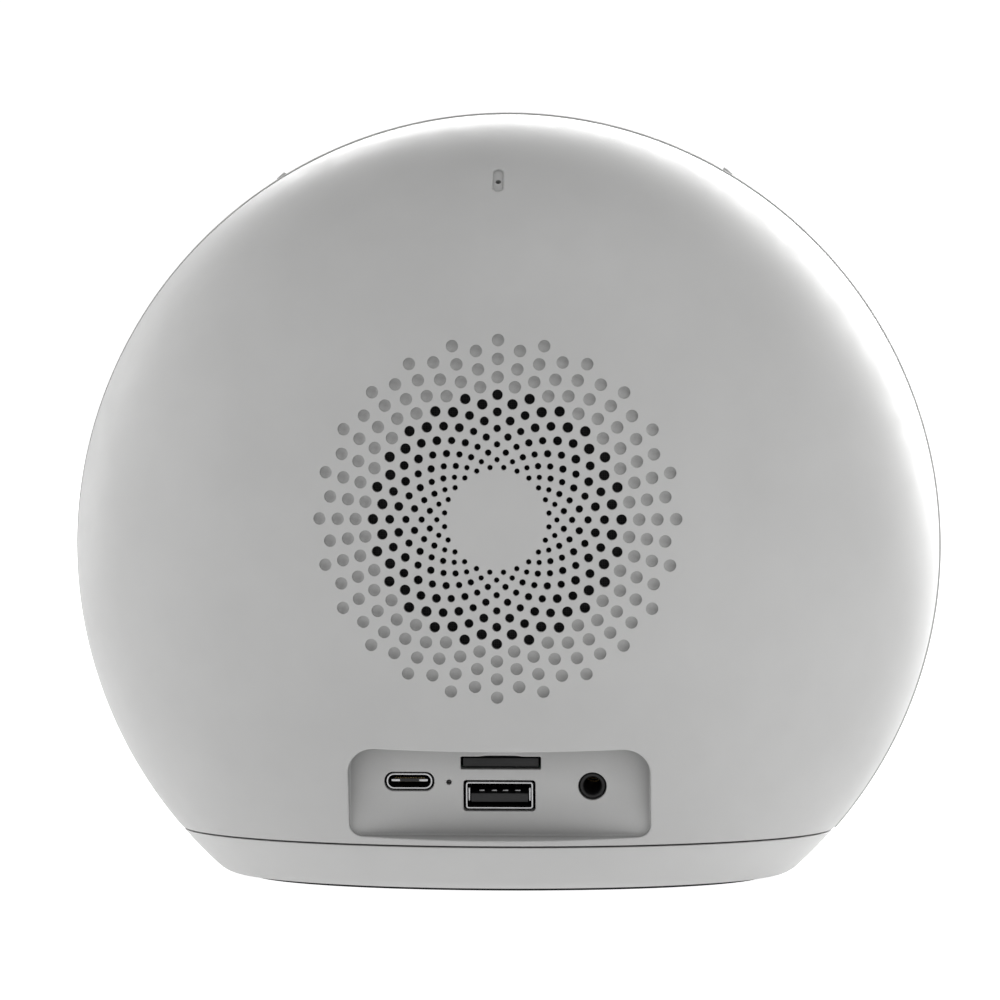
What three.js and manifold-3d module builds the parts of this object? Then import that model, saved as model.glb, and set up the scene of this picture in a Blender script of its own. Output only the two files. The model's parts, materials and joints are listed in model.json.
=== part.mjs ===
// Smart speaker: a squashed dome with a grille of holes at the rear, a round glass front in a bezel ring,
// two volume keys in the rim, a port recess low at the rear, and a flat half-moon base.
// Millimetres, +Z up. The glass faces -Y and the dome faces +Y. Each shape is made in the body frame,
// whose Y = 0 is the ring plane where bezel and dome meet and whose Z = 0 is the table.
import * as THREE from 'three';
import { mergeGeometries, mergeVertices } from 'three/addons/utils/BufferGeometryUtils.js';
import Module from 'manifold-3d';

const wasm = await Module();
wasm.setup();

// ---- driving dimensions -------------------------------------------------------------------------
const domeRadius = 86.1;
const domeDepth = 54.5;
const wall = 2.4;
const circleCut = 20.1; // the foot of the dome's circle that the base cuts off
const seamHeight = 9.6; // where the body meets the base
const gap = 0.3; // between pieces that touch

const ringDepth = 13;
const ringStep = 0.4; // the bezel ring stands proud of the dome
const ringWall = 3.2;
const ringRounding = 1.8;
const seatWall = 1.4; // from the inside of the bezel to the glass
const sillHeight = 2.6; // straight bar of the bezel above the base
const ledgeRise = 2.5; // the ledge behind the glass stands above the sill
const lipWidth = 7.5; // ledge inside the bezel that carries the glass
const lipThickness = 1.5;
const glassThickness = 1.8;
const glassRecess = 0.3;
const gasketThickness = 0.6;
const tongueThickness = 1;
const tongueReach = 2.8;
const tongueRoot = 0.9; // thickness of the bezel's rear wall
const tongueClearance = 0.05; // where the tongue comes closest to the facets inside the dome

const displayMargin = 1.35; // between the display and the ledge below it
const displayThickness = 1.9;
const frameMargin = 5.3; // between the chassis plate and the inside of the bezel
const frameThickness = 1.5;
const frameToDisplay = 0.8;

const patternRise = 7.9; // the hole pattern's centre above the ring's centre
const holesPerRing = 24;
const holeRings = 10;
const firstRingRadius = 10.1;
const firstRingPitch = 1.42;
const pitchGrowth = 0.028;
const holeDiameters = [1, 1.2, 1.4, 1.7, 2]; // each for two rings, from the first pair outwards

const bossInnerRadius = 25.7; // collar that seals the speaker to the dome
const bossWall = 2.4;
const bossClearance = 1; // from the collar's end to the dome at the speaker's rim
const flangeRadius = 32.6;
const postRadius = 2.7;
const postCircle = 30.2;
const pilotDiameter = 2.4;
const pilotDepth = 2.4;
const screwHole = 3.8;

const controlTurn = 0.6; // degrees, the top controls sit slightly off the centre line
const keyAngle = 31;
const keyWidth = 2.2;
const keyFrontMargin = 0.8; // from the ledge to the key
const keyBackMargin = 1.6; // from the key to the dome
const keyHeight = 0.55;
const keyLowHeight = 0.2;
const keyFlangeWidth = 4.4;
const keyFlangeThickness = 1;
const keyTravel = 0.35;

const micFromRim = 13; // the microphone recess below the dome's rim
const micLength = 7;
const micWidth = 2.8;
const micDepth = 0.8;
const micHoleDiameter = 1;

const portTilt = 10; // degrees, the port recess faces a little down
const portSink = 7.3; // the recess floor's depth below the dome's surface
const portRise = 10.9; // and its reference height above the seam
const recessWidth = 58.6;
const recessTop = 9.8;
const recessBottom = -9.05;
const recessTopRadius = 5.4;
const recessBottomRadius = 2.5;
const recessWall = 2;

const portBoardBottom = 3.6;
const underBoard = (height) => portBoardBottom - gap - height / 2;
const usbCHeight = 3.16;
const jackHeight = 4.8;
const usbCSize = {
  x: 17.6, z: underBoard(usbCHeight), width: 8.94, height: usbCHeight, depth: 7.4, hole: 9.7, holeHeight: 3.8,
};
const usbASize = { x: 0.1, z: -1.1, width: 13.1, height: 5.4, depth: 14, hole: 14, holeHeight: 6.2 };
const cardSize = { x: -0.2, z: 5.5, width: 14.8, height: 1.7, depth: 13, hole: 15.6, holeHeight: 2.5 };
const jackSize = {
  x: -18, z: underBoard(jackHeight), collar: 5, bore: 3.5, width: 7, height: jackHeight, depth: 12, hole: 5.5,
};
const resetSize = { x: 9.9, z: 1.6, hole: 1, plunger: 1.4 };
const metalSheet = 0.35;
const boardThickness = 0.8;

const baseWall = 2.4;
const baseBottom = 0.8;
const baseRounding = 1.4;
const plateThickness = 1.8;
const footInset = 6;
const ballastHeight = 4.4;
const ballastHalf = 34;
const ballastMargin = 4.3; // from its corners to the skirt's wall

const mainBoardWidth = 92;
const mainBoardHeight = 58;
const mainBoardRise = 14; // its centre above the ring's centre
const standoffHeight = 4.4;

// ---- sizes that follow ----------------------------------------------------------------------------
const centreHeight = domeRadius - circleCut; // the ring's centre above the table
const ringRadius = domeRadius + ringStep;
const glassRadius = ringRadius - ringWall - seatWall;
const glassFront = glassRecess - ringDepth;
const glassBack = glassFront + glassThickness;
const lipFront = glassBack + 2 * gap + gasketThickness;
const lipBack = lipFront + lipThickness;
const ringBottom = seamHeight + gap / 2;
const glassBottom = ringBottom + sillHeight + gap;
const ledgeTop = glassBottom + ledgeRise;
const displayRadius = centreHeight - ledgeTop - displayMargin;
const frameRadius = ringRadius - ringWall - frameMargin;
const keyLength = -keyBackMargin - (lipBack + keyFrontMargin);
const keyCentre = -keyBackMargin - keyLength / 2; // from the ring plane

// The dome's depth behind the ring plane at a distance from its axis, drawn in by an inset.
const depthAt = (offset, inset = 0) => (
  (domeDepth - inset) * Math.sqrt(1 - (offset / (domeRadius - inset)) ** 2)
);
const bossFace = depthAt(patternRise + flangeRadius, wall) - bossClearance;
const micHeight = domeRadius - micFromRim;
const micElevation = Math.atan2(micHeight / domeRadius ** 2, depthAt(micHeight) / domeDepth ** 2);
const portHeight = seamHeight + portRise;
const portDepth = depthAt(centreHeight - portHeight) - portSink;

// ---- geometry helpers ---------------------------------------------------------------------------
const radians = THREE.MathUtils.degToRad;

// Merges shared vertices and drops the empty triangles at an axis, leaving only closed faces.
function closedFaces(geometry) {
  const bare = geometry.clone();
  bare.deleteAttribute('normal');
  bare.deleteAttribute('uv');
  const merged = mergeVertices(bare, 1e-4);
  const index = [];
  for (let i = 0; i < merged.index.count; i += 3) {
    const [a, b, c] = [0, 1, 2].map((k) => merged.index.getX(i + k));
    if (a !== b && b !== c && c !== a) index.push(a, b, c);
  }
  merged.setIndex(index);
  return merged;
}

function solid(geometry) {
  const faces = closedFaces(geometry);
  const mesh = new wasm.Mesh({
    numProp: 3,
    vertProperties: faces.attributes.position.array,
    triVerts: new Uint32Array(faces.index.array),
  });
  return new wasm.Manifold(mesh);
}

function geometryOf(body) {
  const mesh = body.getMesh();
  const geometry = new THREE.BufferGeometry();
  geometry.setAttribute('position', new THREE.BufferAttribute(mesh.vertProperties, 3));
  geometry.setIndex(new THREE.BufferAttribute(mesh.triVerts, 1));
  return geometry;
}

const cut = (body, ...tools) => tools.reduce((left, tool) => left.subtract(solid(tool)), body);
const join = (body, ...pieces) => pieces.reduce((whole, piece) => whole.add(solid(piece)), body);

// A box given by its limits along each axis.
function box([x0, x1], [y0, y1], [z0, z1]) {
  const geometry = new THREE.BoxGeometry(x1 - x0, y1 - y0, z1 - z0);
  return geometry.translate((x0 + x1) / 2, (y0 + y1) / 2, (z0 + z1) / 2);
}

// A shape drawn in X and Z, extruded along Y.
function alongY(shape, y0, y1, curveSegments = 8) {
  const geometry = new THREE.ExtrudeGeometry(shape, { depth: y1 - y0, bevelEnabled: false, curveSegments });
  return geometry.rotateX(Math.PI / 2).translate(0, y1, 0);
}

// A shape drawn in X and Y, extruded along Z.
function alongZ(shape, z0, z1, curveSegments = 8) {
  const geometry = new THREE.ExtrudeGeometry(shape, { depth: z1 - z0, bevelEnabled: false, curveSegments });
  return geometry.translate(0, 0, z0);
}

// A profile of [radius, y] points turned about the Y axis. An open profile ends on the axis.
function turned(profile, segments) {
  const onAxis = profile[0][0] === 0 && profile.at(-1)[0] === 0;
  const points = profile.map(([r, y]) => new THREE.Vector2(r, y));
  if (THREE.ShapeUtils.isClockWise(points)) points.reverse();
  if (!onAxis) points.push(points[0].clone());
  return new THREE.LatheGeometry(points, segments);
}

function rod(radius, y0, y1, segments = 8) {
  return new THREE.CylinderGeometry(radius, radius, y1 - y0, segments).translate(0, (y0 + y1) / 2, 0);
}

function tube(inner, outer, y0, y1, segments) {
  return turned([[inner, y0], [outer, y0], [outer, y1], [inner, y1]], segments);
}

// A rectangle with corner radii for its top and its bottom corners.
function roundedShape(x0, x1, z0, z1, topRadius, bottomRadius = topRadius) {
  const shape = new THREE.Shape();
  shape.moveTo(x0 + bottomRadius, z0);
  shape.lineTo(x1 - bottomRadius, z0);
  shape.absarc(x1 - bottomRadius, z0 + bottomRadius, bottomRadius, -Math.PI / 2, 0, false);
  shape.absarc(x1 - topRadius, z1 - topRadius, topRadius, 0, Math.PI / 2, false);
  shape.absarc(x0 + topRadius, z1 - topRadius, topRadius, Math.PI / 2, Math.PI, false);
  shape.absarc(x0 + bottomRadius, z0 + bottomRadius, bottomRadius, Math.PI, 1.5 * Math.PI, false);
  return shape;
}

function centredShape(size, width, height, radius) {
  const [x, z] = [size.x, size.z];
  return roundedShape(x - width / 2, x + width / 2, z - height / 2, z + height / 2, radius);
}

// A disc about the ring's centre with its foot cut off level at a height.
function cutDisc(radius, cutHeight) {
  const start = Math.asin((cutHeight - centreHeight) / radius);
  const shape = new THREE.Shape();
  shape.absarc(0, centreHeight, radius, start, Math.PI - start, false);
  return shape;
}

// Half of the base's width where the dome's circle passes a height.
const halfWidthAt = (height) => Math.sqrt(domeRadius ** 2 - (centreHeight - height) ** 2);

// The base's outline at a height, drawn in: half an ellipse at the rear and a straight front.
function baseOutline(height, inset, steps = 40) {
  const halfWidth = halfWidthAt(height) - inset;
  const depth = (halfWidthAt(height) * domeDepth) / domeRadius - inset;
  const front = -ringDepth + inset;
  const points = [new THREE.Vector2(-halfWidth, front), new THREE.Vector2(halfWidth, front)];
  for (let i = 0; i <= steps; i += 1) {
    const angle = (i / steps) * Math.PI;
    points.push(new THREE.Vector2(halfWidth * Math.cos(angle), depth * Math.sin(angle)));
  }
  return points;
}

// A closed skin over a stack of [height, outline] sections with the same number of points.
function lofted(sections) {
  const count = sections[0][1].length;
  const positions = sections.flatMap(([height, outline]) => outline.flatMap((p) => [p.x, p.y, height]));
  const index = [];
  for (let level = 0; level + 1 < sections.length; level += 1) {
    for (let i = 0; i < count; i += 1) {
      const [a, b] = [level * count + i, level * count + ((i + 1) % count)];
      index.push(a, b, b + count, a, b + count, a + count);
    }
  }
  const top = (sections.length - 1) * count;
  for (let i = 1; i + 1 < count; i += 1) {
    index.push(0, i + 1, i, top, top + i, top + i + 1);
  }
  const geometry = new THREE.BufferGeometry();
  geometry.setAttribute('position', new THREE.Float32BufferAttribute(positions, 3));
  geometry.setIndex(index);
  return geometry;
}

// A strip of flat cable: a path in Y and Z with a thickness, extruded across X.
function flatCable(path, thickness, x0, x1) {
  const side = (offset) => path.map((point, i) => {
    const before = path[Math.max(i - 1, 0)];
    const after = path[Math.min(i + 1, path.length - 1)];
    const along = new THREE.Vector2(after[0] - before[0], after[1] - before[1]).normalize();
    return new THREE.Vector2(point[0] - along.y * offset, point[1] + along.x * offset);
  });
  const outline = [...side(-thickness / 2), ...side(thickness / 2).reverse()];
  const strip = alongZ(new THREE.Shape(outline), x0, x1);
  // The strip's X, Y and Z are the cable's Y, Z and X.
  return strip.applyMatrix4(new THREE.Matrix4().set(0, 0, 1, 0, 1, 0, 0, 0, 0, 1, 0, 0, 0, 0, 0, 1));
}

// Local frames: +Y points outwards from the surface, and Z is up along it.
const ringFrame = new THREE.Matrix4().makeTranslation(0, 0, centreHeight);
const driverFrame = new THREE.Matrix4().makeTranslation(0, 0, centreHeight + patternRise);
const portFrame = new THREE.Matrix4()
  .makeRotationX(radians(-portTilt))
  .setPosition(0, portDepth, portHeight);

// Turned about the ring's axis, with Z pointing out of the rim.
function rimFrame(degrees) {
  return ringFrame.clone().multiply(new THREE.Matrix4().makeRotationY(radians(degrees)));
}

const micFrame = rimFrame(controlTurn)
  .multiply(new THREE.Matrix4().makeTranslation(0, depthAt(micHeight), micHeight))
  .multiply(new THREE.Matrix4().makeRotationX(micElevation));

const placed = (geometry, frame) => geometry.clone().applyMatrix4(frame);

// ---- materials ----------------------------------------------------------------------------------
const finish = (color, roughness, metalness = 0) => ({ color, roughness, metalness });
const finishes = {
  shell: finish(0xdcdcda, 0.55),
  base: finish(0xd6d6d4, 0.6),
  key: finish(0xe2e2e0, 0.5),
  rubber: finish(0x4a4b4d, 0.9),
  glass: finish(0x0b0c0e, 0.06),
  panel: finish(0x15171b, 0.3),
  darkPlastic: finish(0x26272a, 0.55),
  frame: finish(0x7d8085, 0.45, 0.9),
  board: finish(0x1c4a34, 0.5),
  steel: finish(0xb9bbbd, 0.3, 1),
  copper: finish(0xb5703c, 0.35, 1),
  magnet: finish(0x35363a, 0.6, 0.4),
  cone: finish(0x1d1d1f, 0.8),
  amber: finish(0xb98a3c, 0.5),
  mesh: finish(0x3b3c3e, 0.85),
};

const speaker = new THREE.Group();
speaker.position.y = (ringDepth - domeDepth) / 2; // the origin is under the middle of the box

function add(name, geometry, look) {
  const mesh = new THREE.Mesh(geometry, new THREE.MeshStandardMaterial(finishes[look]));
  mesh.geometry.computeVertexNormals();
  mesh.name = name;
  speaker.add(mesh);
}

// ---- rear shell ---------------------------------------------------------------------------------
// A squashed ball, drawn in by an inset. Its facets run in columns round Z and rows along it.
function squashedBall(inset, columns, rows) {
  const [radius, depth] = [domeRadius - inset, domeDepth - inset];
  const ball = new THREE.SphereGeometry(radius, 2 * columns, rows);
  return placed(ball.rotateX(Math.PI / 2).scale(1, depth / radius, 1), ringFrame);
}

// The half of it behind the ring plane.
function dome(inset) {
  const span = [-domeRadius, 2 * domeRadius];
  const front = box([-domeRadius - 1, domeRadius + 1], [-domeDepth - 1, 0], span);
  return geometryOf(cut(solid(squashedBall(inset, 20, 30)), front));
}

// The room inside the dome, which reaches through the ring plane.
const insideColumns = 12;
const insideRows = 20;
const domeInside = (inset) => squashedBall(inset, insideColumns, insideRows);

// The narrowest radius of that faceted room at a short distance behind the ring plane.
function insideRadiusAt(reach) {
  const step = Math.PI / insideColumns;
  const share = reach / ((domeDepth - wall) * Math.sin(step));
  return (domeRadius - wall) * (1 - (1 - Math.cos(step)) * share) * Math.cos(Math.PI / insideRows / 2);
}

const ringRadiusAt = (ring) => (
  firstRingRadius + ring * firstRingPitch + (ring * (ring - 1) / 2) * pitchGrowth
);

// The grille: rings of holes, each second ring turned by half a step.
function grilleHoles() {
  const holes = [];
  for (let ring = 0; ring < holeRings; ring += 1) {
    const radius = holeDiameters[Math.floor(ring / 2)] / 2;
    const shift = ring % 2 === 0 ? 0.5 : 0;
    for (let i = 0; i < holesPerRing; i += 1) {
      const angle = ((i + shift) / holesPerRing) * 2 * Math.PI;
      const hole = rod(radius, bossFace + 1, domeDepth + 1, 5);
      hole.translate(ringRadiusAt(ring) * Math.sin(angle), 0, ringRadiusAt(ring) * Math.cos(angle));
      holes.push(hole);
    }
  }
  return placed(mergeGeometries(holes), driverFrame);
}

const recessShape = (grow) => roundedShape(
  -recessWidth / 2 - grow,
  recessWidth / 2 + grow,
  recessBottom - grow,
  recessTop + grow,
  recessTopRadius + grow,
  recessBottomRadius + grow,
);

const postAngles = [45, 135, 225, 315];

function aroundDriver(geometry, radius) {
  return postAngles.map((degrees) => {
    const turn = new THREE.Matrix4().makeRotationY(radians(degrees));
    return placed(placed(geometry.clone().translate(0, 0, radius), turn), driverFrame);
  });
}

// Two blocks behind the recess carry the port board.
const blockReach = [-11, -1];
const blockSides = [-1, 1];
const blockCentre = 25.5;
const blockWidth = 5;
const blockBottom = portBoardBottom + boardThickness + gap;

function portBlocks() {
  return blockSides.map((side) => {
    const x = side * blockCentre;
    const block = box([x - blockWidth / 2, x + blockWidth / 2], blockReach, [blockBottom, recessTop + 1]);
    return placed(block, portFrame);
  });
}

const openingFor = (size, radius, reach, curveSegments) => (
  alongY(centredShape(size, size.hole, size.holeHeight, radius), ...reach, curveSegments)
);

function portOpenings() {
  const through = [-recessWall - 1, 1];
  const openings = [
    openingFor(usbCSize, usbCSize.holeHeight * 0.45, through, 4),
    openingFor(usbASize, 0.6, through, 2),
    openingFor(cardSize, 0.5, through, 2),
    rod(jackSize.hole / 2, ...through, 20).translate(jackSize.x, 0, jackSize.z),
    rod(resetSize.hole / 2, ...through, 10).translate(resetSize.x, 0, resetSize.z),
  ];
  return openings.map((opening) => placed(opening, portFrame));
}

// A slot with round ends, its length along Z.
function slotShape(width, length) {
  return roundedShape(-width / 2, width / 2, -length / 2, length / 2, width / 2 - 0.01);
}

function rearShell() {
  const outer = solid(dome(0));
  const pocketHalf = recessWidth / 2 + recessWall - recessBottomRadius;
  const underPocket = box(
    [-pocketHalf, pocketHalf],
    [-recessWall, domeDepth / 2],
    [-recessTop - seamHeight, 0],
  );
  const pocket = join(
    solid(placed(alongY(recessShape(recessWall), -recessWall, domeDepth / 2, 6), portFrame)),
    placed(underPocket, portFrame),
  );
  const collar = placed(
    tube(bossInnerRadius, bossInnerRadius + bossWall, bossFace, domeDepth, 28),
    driverFrame,
  );
  const posts = aroundDriver(rod(postRadius, bossFace, domeDepth, 10), postCircle);
  const inside = solid(dome(wall / 6)); // keeps the inner features inside the wall
  let shell = outer.subtract(solid(domeInside(wall)));
  shell = shell.add(pocket.intersect(outer));
  shell = shell.add(join(solid(collar), ...posts).intersect(inside));
  shell = join(shell, ...portBlocks());
  const pilots = aroundDriver(rod(pilotDiameter / 2, bossFace - 1, bossFace + pilotDepth, 6), postCircle);
  const blockPilots = blockSides.map((side) => placed(
    alongZ(new THREE.Shape().absarc(side * blockCentre, -7, pilotDiameter / 2, 0, 2 * Math.PI),
      blockBottom - 1, blockBottom + 3, 3),
    portFrame,
  ));
  return cut(
    shell,
    placed(alongY(recessShape(0), 0, domeDepth / 2, 6), portFrame),
    ...portOpenings(),
    ...pilots,
    ...blockPilots,
    grilleHoles(),
    placed(alongY(slotShape(micWidth, micLength), -micDepth, 4, 4), micFrame),
    placed(rod(micHoleDiameter / 2, -wall - 2, 0, 8), micFrame),
    box([-domeRadius, domeRadius], [-2, domeDepth + 1], [-30, ringBottom]),
  );
}
add('rear_shell', geometryOf(rearShell()), 'shell');

// ---- front: bezel ring, glass, gasket, display ---------------------------------------------------
const ringFront = -ringDepth;

function frontRing() {
  const innerRadius = ringRadius - ringWall;
  const seat = glassRadius + gap;
  const corner = [0, 1, 2, 3].map((i) => {
    const angle = (i / 3) * (Math.PI / 2);
    return [
      ringRadius - ringRounding * (1 - Math.cos(angle)),
      ringFront + ringRounding * (1 - Math.sin(angle)),
    ];
  });
  const tongueOuter = insideRadiusAt(tongueReach) - tongueClearance;
  const tongueInner = tongueOuter - tongueThickness;
  const profile = [
    [seat, ringFront],
    ...corner.reverse(),
    [ringRadius, -gap],
    [tongueOuter, -gap],
    [tongueOuter, tongueReach],
    [tongueInner, tongueReach],
    [tongueInner, -tongueRoot],
    [innerRadius, -tongueRoot],
    [innerRadius, lipBack],
    [glassRadius - lipWidth, lipBack],
    [glassRadius - lipWidth, lipFront],
    [seat, lipFront],
  ];
  const ring = solid(placed(turned(profile, 64), ringFrame));
  const halfWidth = halfWidthAt(ringBottom);
  const across = [-halfWidth, halfWidth];
  const sill = box(across, [ringFront + 0.6, lipBack], [ringBottom, ringBottom + sillHeight]);
  const ledge = box(across, [lipFront, lipBack], [ringBottom, ledgeTop]);
  const belowSeam = box(
    [-ringRadius, ringRadius],
    [ringFront - 1, tongueReach + 1],
    [-circleCut - 1, ringBottom],
  );
  const trimmed = cut(ring, belowSeam);
  const slots = keys.map(({ frame }) => placed(
    box([-keyWidth / 2 - gap, keyWidth / 2 + gap],
      [keyCentre - keyLength / 2 - gap, keyCentre + keyLength / 2 + gap],
      [innerRadius - 2, ringRadius + 2]),
    frame,
  ));
  return cut(join(trimmed, sill, ledge), ...slots);
}

const keys = [
  { name: 'volume_up', side: 1, frame: rimFrame(keyAngle + controlTurn) },
  { name: 'volume_down', side: -1, frame: rimFrame(-keyAngle + controlTurn) },
];
add('front_ring', geometryOf(frontRing()), 'shell');

const glassShape = cutDisc(glassRadius, glassBottom);
add('front_glass', alongY(glassShape, glassFront, glassBack, 64), 'glass');

const gasketWidth = 3;
const gasketShape = cutDisc(glassRadius - 1, glassBottom + 0.6);
gasketShape.holes.push(cutDisc(glassRadius - 1 - gasketWidth, glassBottom + 2.1));
const gasketBack = glassBack + gap + gasketThickness;
add('glass_gasket', alongY(gasketShape, glassBack + gap, gasketBack, 36), 'rubber');

const displayFront = glassBack + gap;
const displayBack = displayFront + displayThickness;
add('lcd_panel', placed(rod(displayRadius, displayFront, displayBack, 48), ringFrame), 'panel');

const frameFront = Math.max(displayBack + frameToDisplay, lipBack + gap);
const frameBack = frameFront + frameThickness;
const boardFront = frameBack + standoffHeight + gap;
const boardBack = boardFront + boardThickness;
const boardCentre = centreHeight + mainBoardRise;
const boardHole = { x: mainBoardWidth / 2 - 4, z: mainBoardHeight / 2 - 4 };
const ribbonWidth = 14;
const ribbonHeight = boardCentre - mainBoardHeight / 2 - 6;
const switchTop = ringRadius - ringWall - gap - keyFlangeThickness - gap; // the stem's outer end
const shelfTop = switchTop - 5;
const shelfHalf = 5.4;

const boardCorners = [[-1, -1], [-1, 1], [1, -1], [1, 1]];
const atBoardHoles = (geometry) => boardCorners.map(([i, j]) => (
  geometry.clone().translate(i * boardHole.x, 0, boardCentre + j * boardHole.z)
));

// The chassis plate: board posts, cable slot, and a shelf under each key's switch board.
function midFrame() {
  const plate = solid(alongY(cutDisc(frameRadius, glassBottom + 4), frameFront, frameBack, 64));
  const notches = keys.map(({ frame }) => placed(
    box([-shelfHalf - 0.2, shelfHalf + 0.2], [frameFront - 1, 0], [shelfTop, ringRadius]),
    frame,
  ));
  const shelves = keys.map(({ frame }) => placed(
    box([-shelfHalf, shelfHalf], [frameFront, keyCentre + 3], [shelfTop - 2, shelfTop - gap]),
    frame,
  ));
  const slot = box([-ribbonWidth / 2 - 1, ribbonWidth / 2 + 1], [frameFront - 1, frameBack + 1],
    [ribbonHeight - 1, ribbonHeight + 1]);
  const posts = atBoardHoles(rod(2.6, frameBack - 0.5, frameBack + standoffHeight));
  const pilots = atBoardHoles(rod(pilotDiameter / 2, frameBack + 0.6, boardFront + 1, 6));
  return cut(join(cut(join(plate, ...posts), ...notches, slot), ...shelves), ...pilots);
}
add('mid_frame', geometryOf(midFrame()), 'frame');

// ---- volume keys, stems and switches -------------------------------------------------------------
function key({ side }) {
  const [top, flangeTop] = [ringRadius, ringRadius - ringWall - gap];
  const flangeBottom = flangeTop - keyFlangeThickness;
  const [half, flange] = [keyWidth / 2, keyFlangeWidth / 2];
  const outline = [
    [-flange, flangeBottom], [flange, flangeBottom], [flange, flangeTop], [half, flangeTop],
    [half, top + keyLowHeight], [-half * 0.75, top + keyHeight], [-half, top + keyHeight * 0.8],
    [-half, flangeTop], [-flange, flangeTop],
  ];
  const points = outline.map(([x, z]) => new THREE.Vector2(x * side, z));
  const shape = new THREE.Shape(side > 0 ? points : points.reverse());
  return alongY(shape, keyCentre - keyLength / 2, keyCentre + keyLength / 2);
}

const stemHalf = 0.9;
const stemHeight = 1.5;
const switchRise = 0.8; // the stem's free height above the switch
const switchHeight = 2.6;
const switchHalf = 2.2;

// A box under a key, centred on its length.
const keyBox = (halfWidth, halfLength, height) => (
  box([-halfWidth, halfWidth], [keyCentre - halfLength, keyCentre + halfLength], height)
);

function keySwitch() {
  const top = switchTop - switchRise;
  const body = keyBox(switchHalf, switchHalf, [top - switchHeight, top]);
  const well = keyBox(stemHalf + gap, stemHalf + gap, [switchTop - stemHeight - keyTravel - gap, top + 1]);
  return geometryOf(cut(solid(body), well));
}

for (const { name, side, frame } of keys) {
  const boardTop = switchTop - switchRise - switchHeight - gap;
  add(`${name}_key`, placed(key({ side }), frame), 'key');
  const stem = keyBox(stemHalf, stemHalf, [switchTop - stemHeight, switchTop]);
  add(`${name}_stem`, placed(stem, frame), 'darkPlastic');
  add(`${name}_switch`, placed(keySwitch(), frame), 'steel');
  add(`${name}_board`, placed(keyBox(5, 2.6, [shelfTop, boardTop]), frame), 'board');
}

// ---- microphone ---------------------------------------------------------------------------------
const micSeat = -wall - 0.5; // clear of the curved wall
const micGasketThickness = 1.2;
const micBoardFront = micSeat - micGasketThickness - gap;
const micBoardBack = micBoardFront - 0.6;
const micCapsuleFront = micBoardBack - gap;
const micCapsuleThickness = 1;
add('mic_gasket', placed(tube(0.9, 2.2, micSeat - micGasketThickness, micSeat, 12), micFrame), 'rubber');
const micBoard = cut(
  solid(box([-5, 5], [micBoardBack, micBoardFront], [-3.5, 3.5])),
  rod(micHoleDiameter / 2, micBoardBack - 1, micSeat),
);
add('mic_board', placed(geometryOf(micBoard), micFrame), 'board');
const micCapsule = box([-1.9, 1.9], [micCapsuleFront - micCapsuleThickness, micCapsuleFront], [-1.5, 1.5]);
add('mic_capsule', placed(micCapsule, micFrame), 'steel');

// ---- rear-firing speaker ------------------------------------------------------------------------
const sealThickness = 0.3;
const flangeFace = bossFace - 2 * gap - sealThickness; // the flange's outer face, under its seal
const flangeThickness = 1.4;
const basketRadius = 25.4;
const basketDepth = 13;
const basketWall = 1.2;
const magnetRadius = 19;
const coilRadius = 8;

function basket() {
  const back = flangeFace - flangeThickness;
  const bottom = flangeFace - basketDepth;
  const profile = [
    [basketRadius, flangeFace], [basketRadius, back], [magnetRadius - 2, bottom + basketWall],
    [coilRadius + 3, bottom + basketWall], [coilRadius + 3, bottom], [magnetRadius - 1, bottom],
    [basketRadius + basketWall, back - basketWall],
    [flangeRadius, back - basketWall],
    [flangeRadius, flangeFace],
  ];
  const body = solid(placed(turned(profile, 28), driverFrame));
  return cut(body, ...aroundDriver(rod(screwHole / 2, back - 3, flangeFace + 1), postCircle));
}
add('speaker_basket', geometryOf(basket()), 'darkPlastic');

const seal = cut(
  solid(placed(tube(basketRadius, flangeRadius, flangeFace + gap, bossFace - gap, 28), driverFrame)),
  ...aroundDriver(rod(screwHole / 2, flangeFace - 1, bossFace + 1), postCircle),
);
add('speaker_seal', geometryOf(seal), 'rubber');

const topPlateThickness = 2.4;
const magnetThickness = 6.4;
const yokeThickness = 2.2;
const basketBottom = flangeFace - basketDepth;
const plateBack = basketBottom - gap - topPlateThickness;
const magnetBack = plateBack - gap - magnetThickness;
const yokeBack = magnetBack - gap - yokeThickness;
const plateRadius = magnetRadius - 1.5;
const polePiece = coilRadius - 1.3;
const inDriver = (geometry) => placed(geometry, driverFrame);
add('top_plate', inDriver(tube(coilRadius + 1, plateRadius, plateBack, basketBottom - gap, 30)), 'steel');
add('magnet', inDriver(tube(coilRadius + 3, magnetRadius, magnetBack, plateBack - gap, 30)), 'magnet');
const yokeProfile = [
  [0, yokeBack], [plateRadius, yokeBack], [plateRadius, magnetBack - gap],
  [polePiece, magnetBack - gap], [polePiece, basketBottom - gap], [0, basketBottom - gap],
];
add('yoke', inDriver(turned(yokeProfile, 30)), 'steel');

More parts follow.
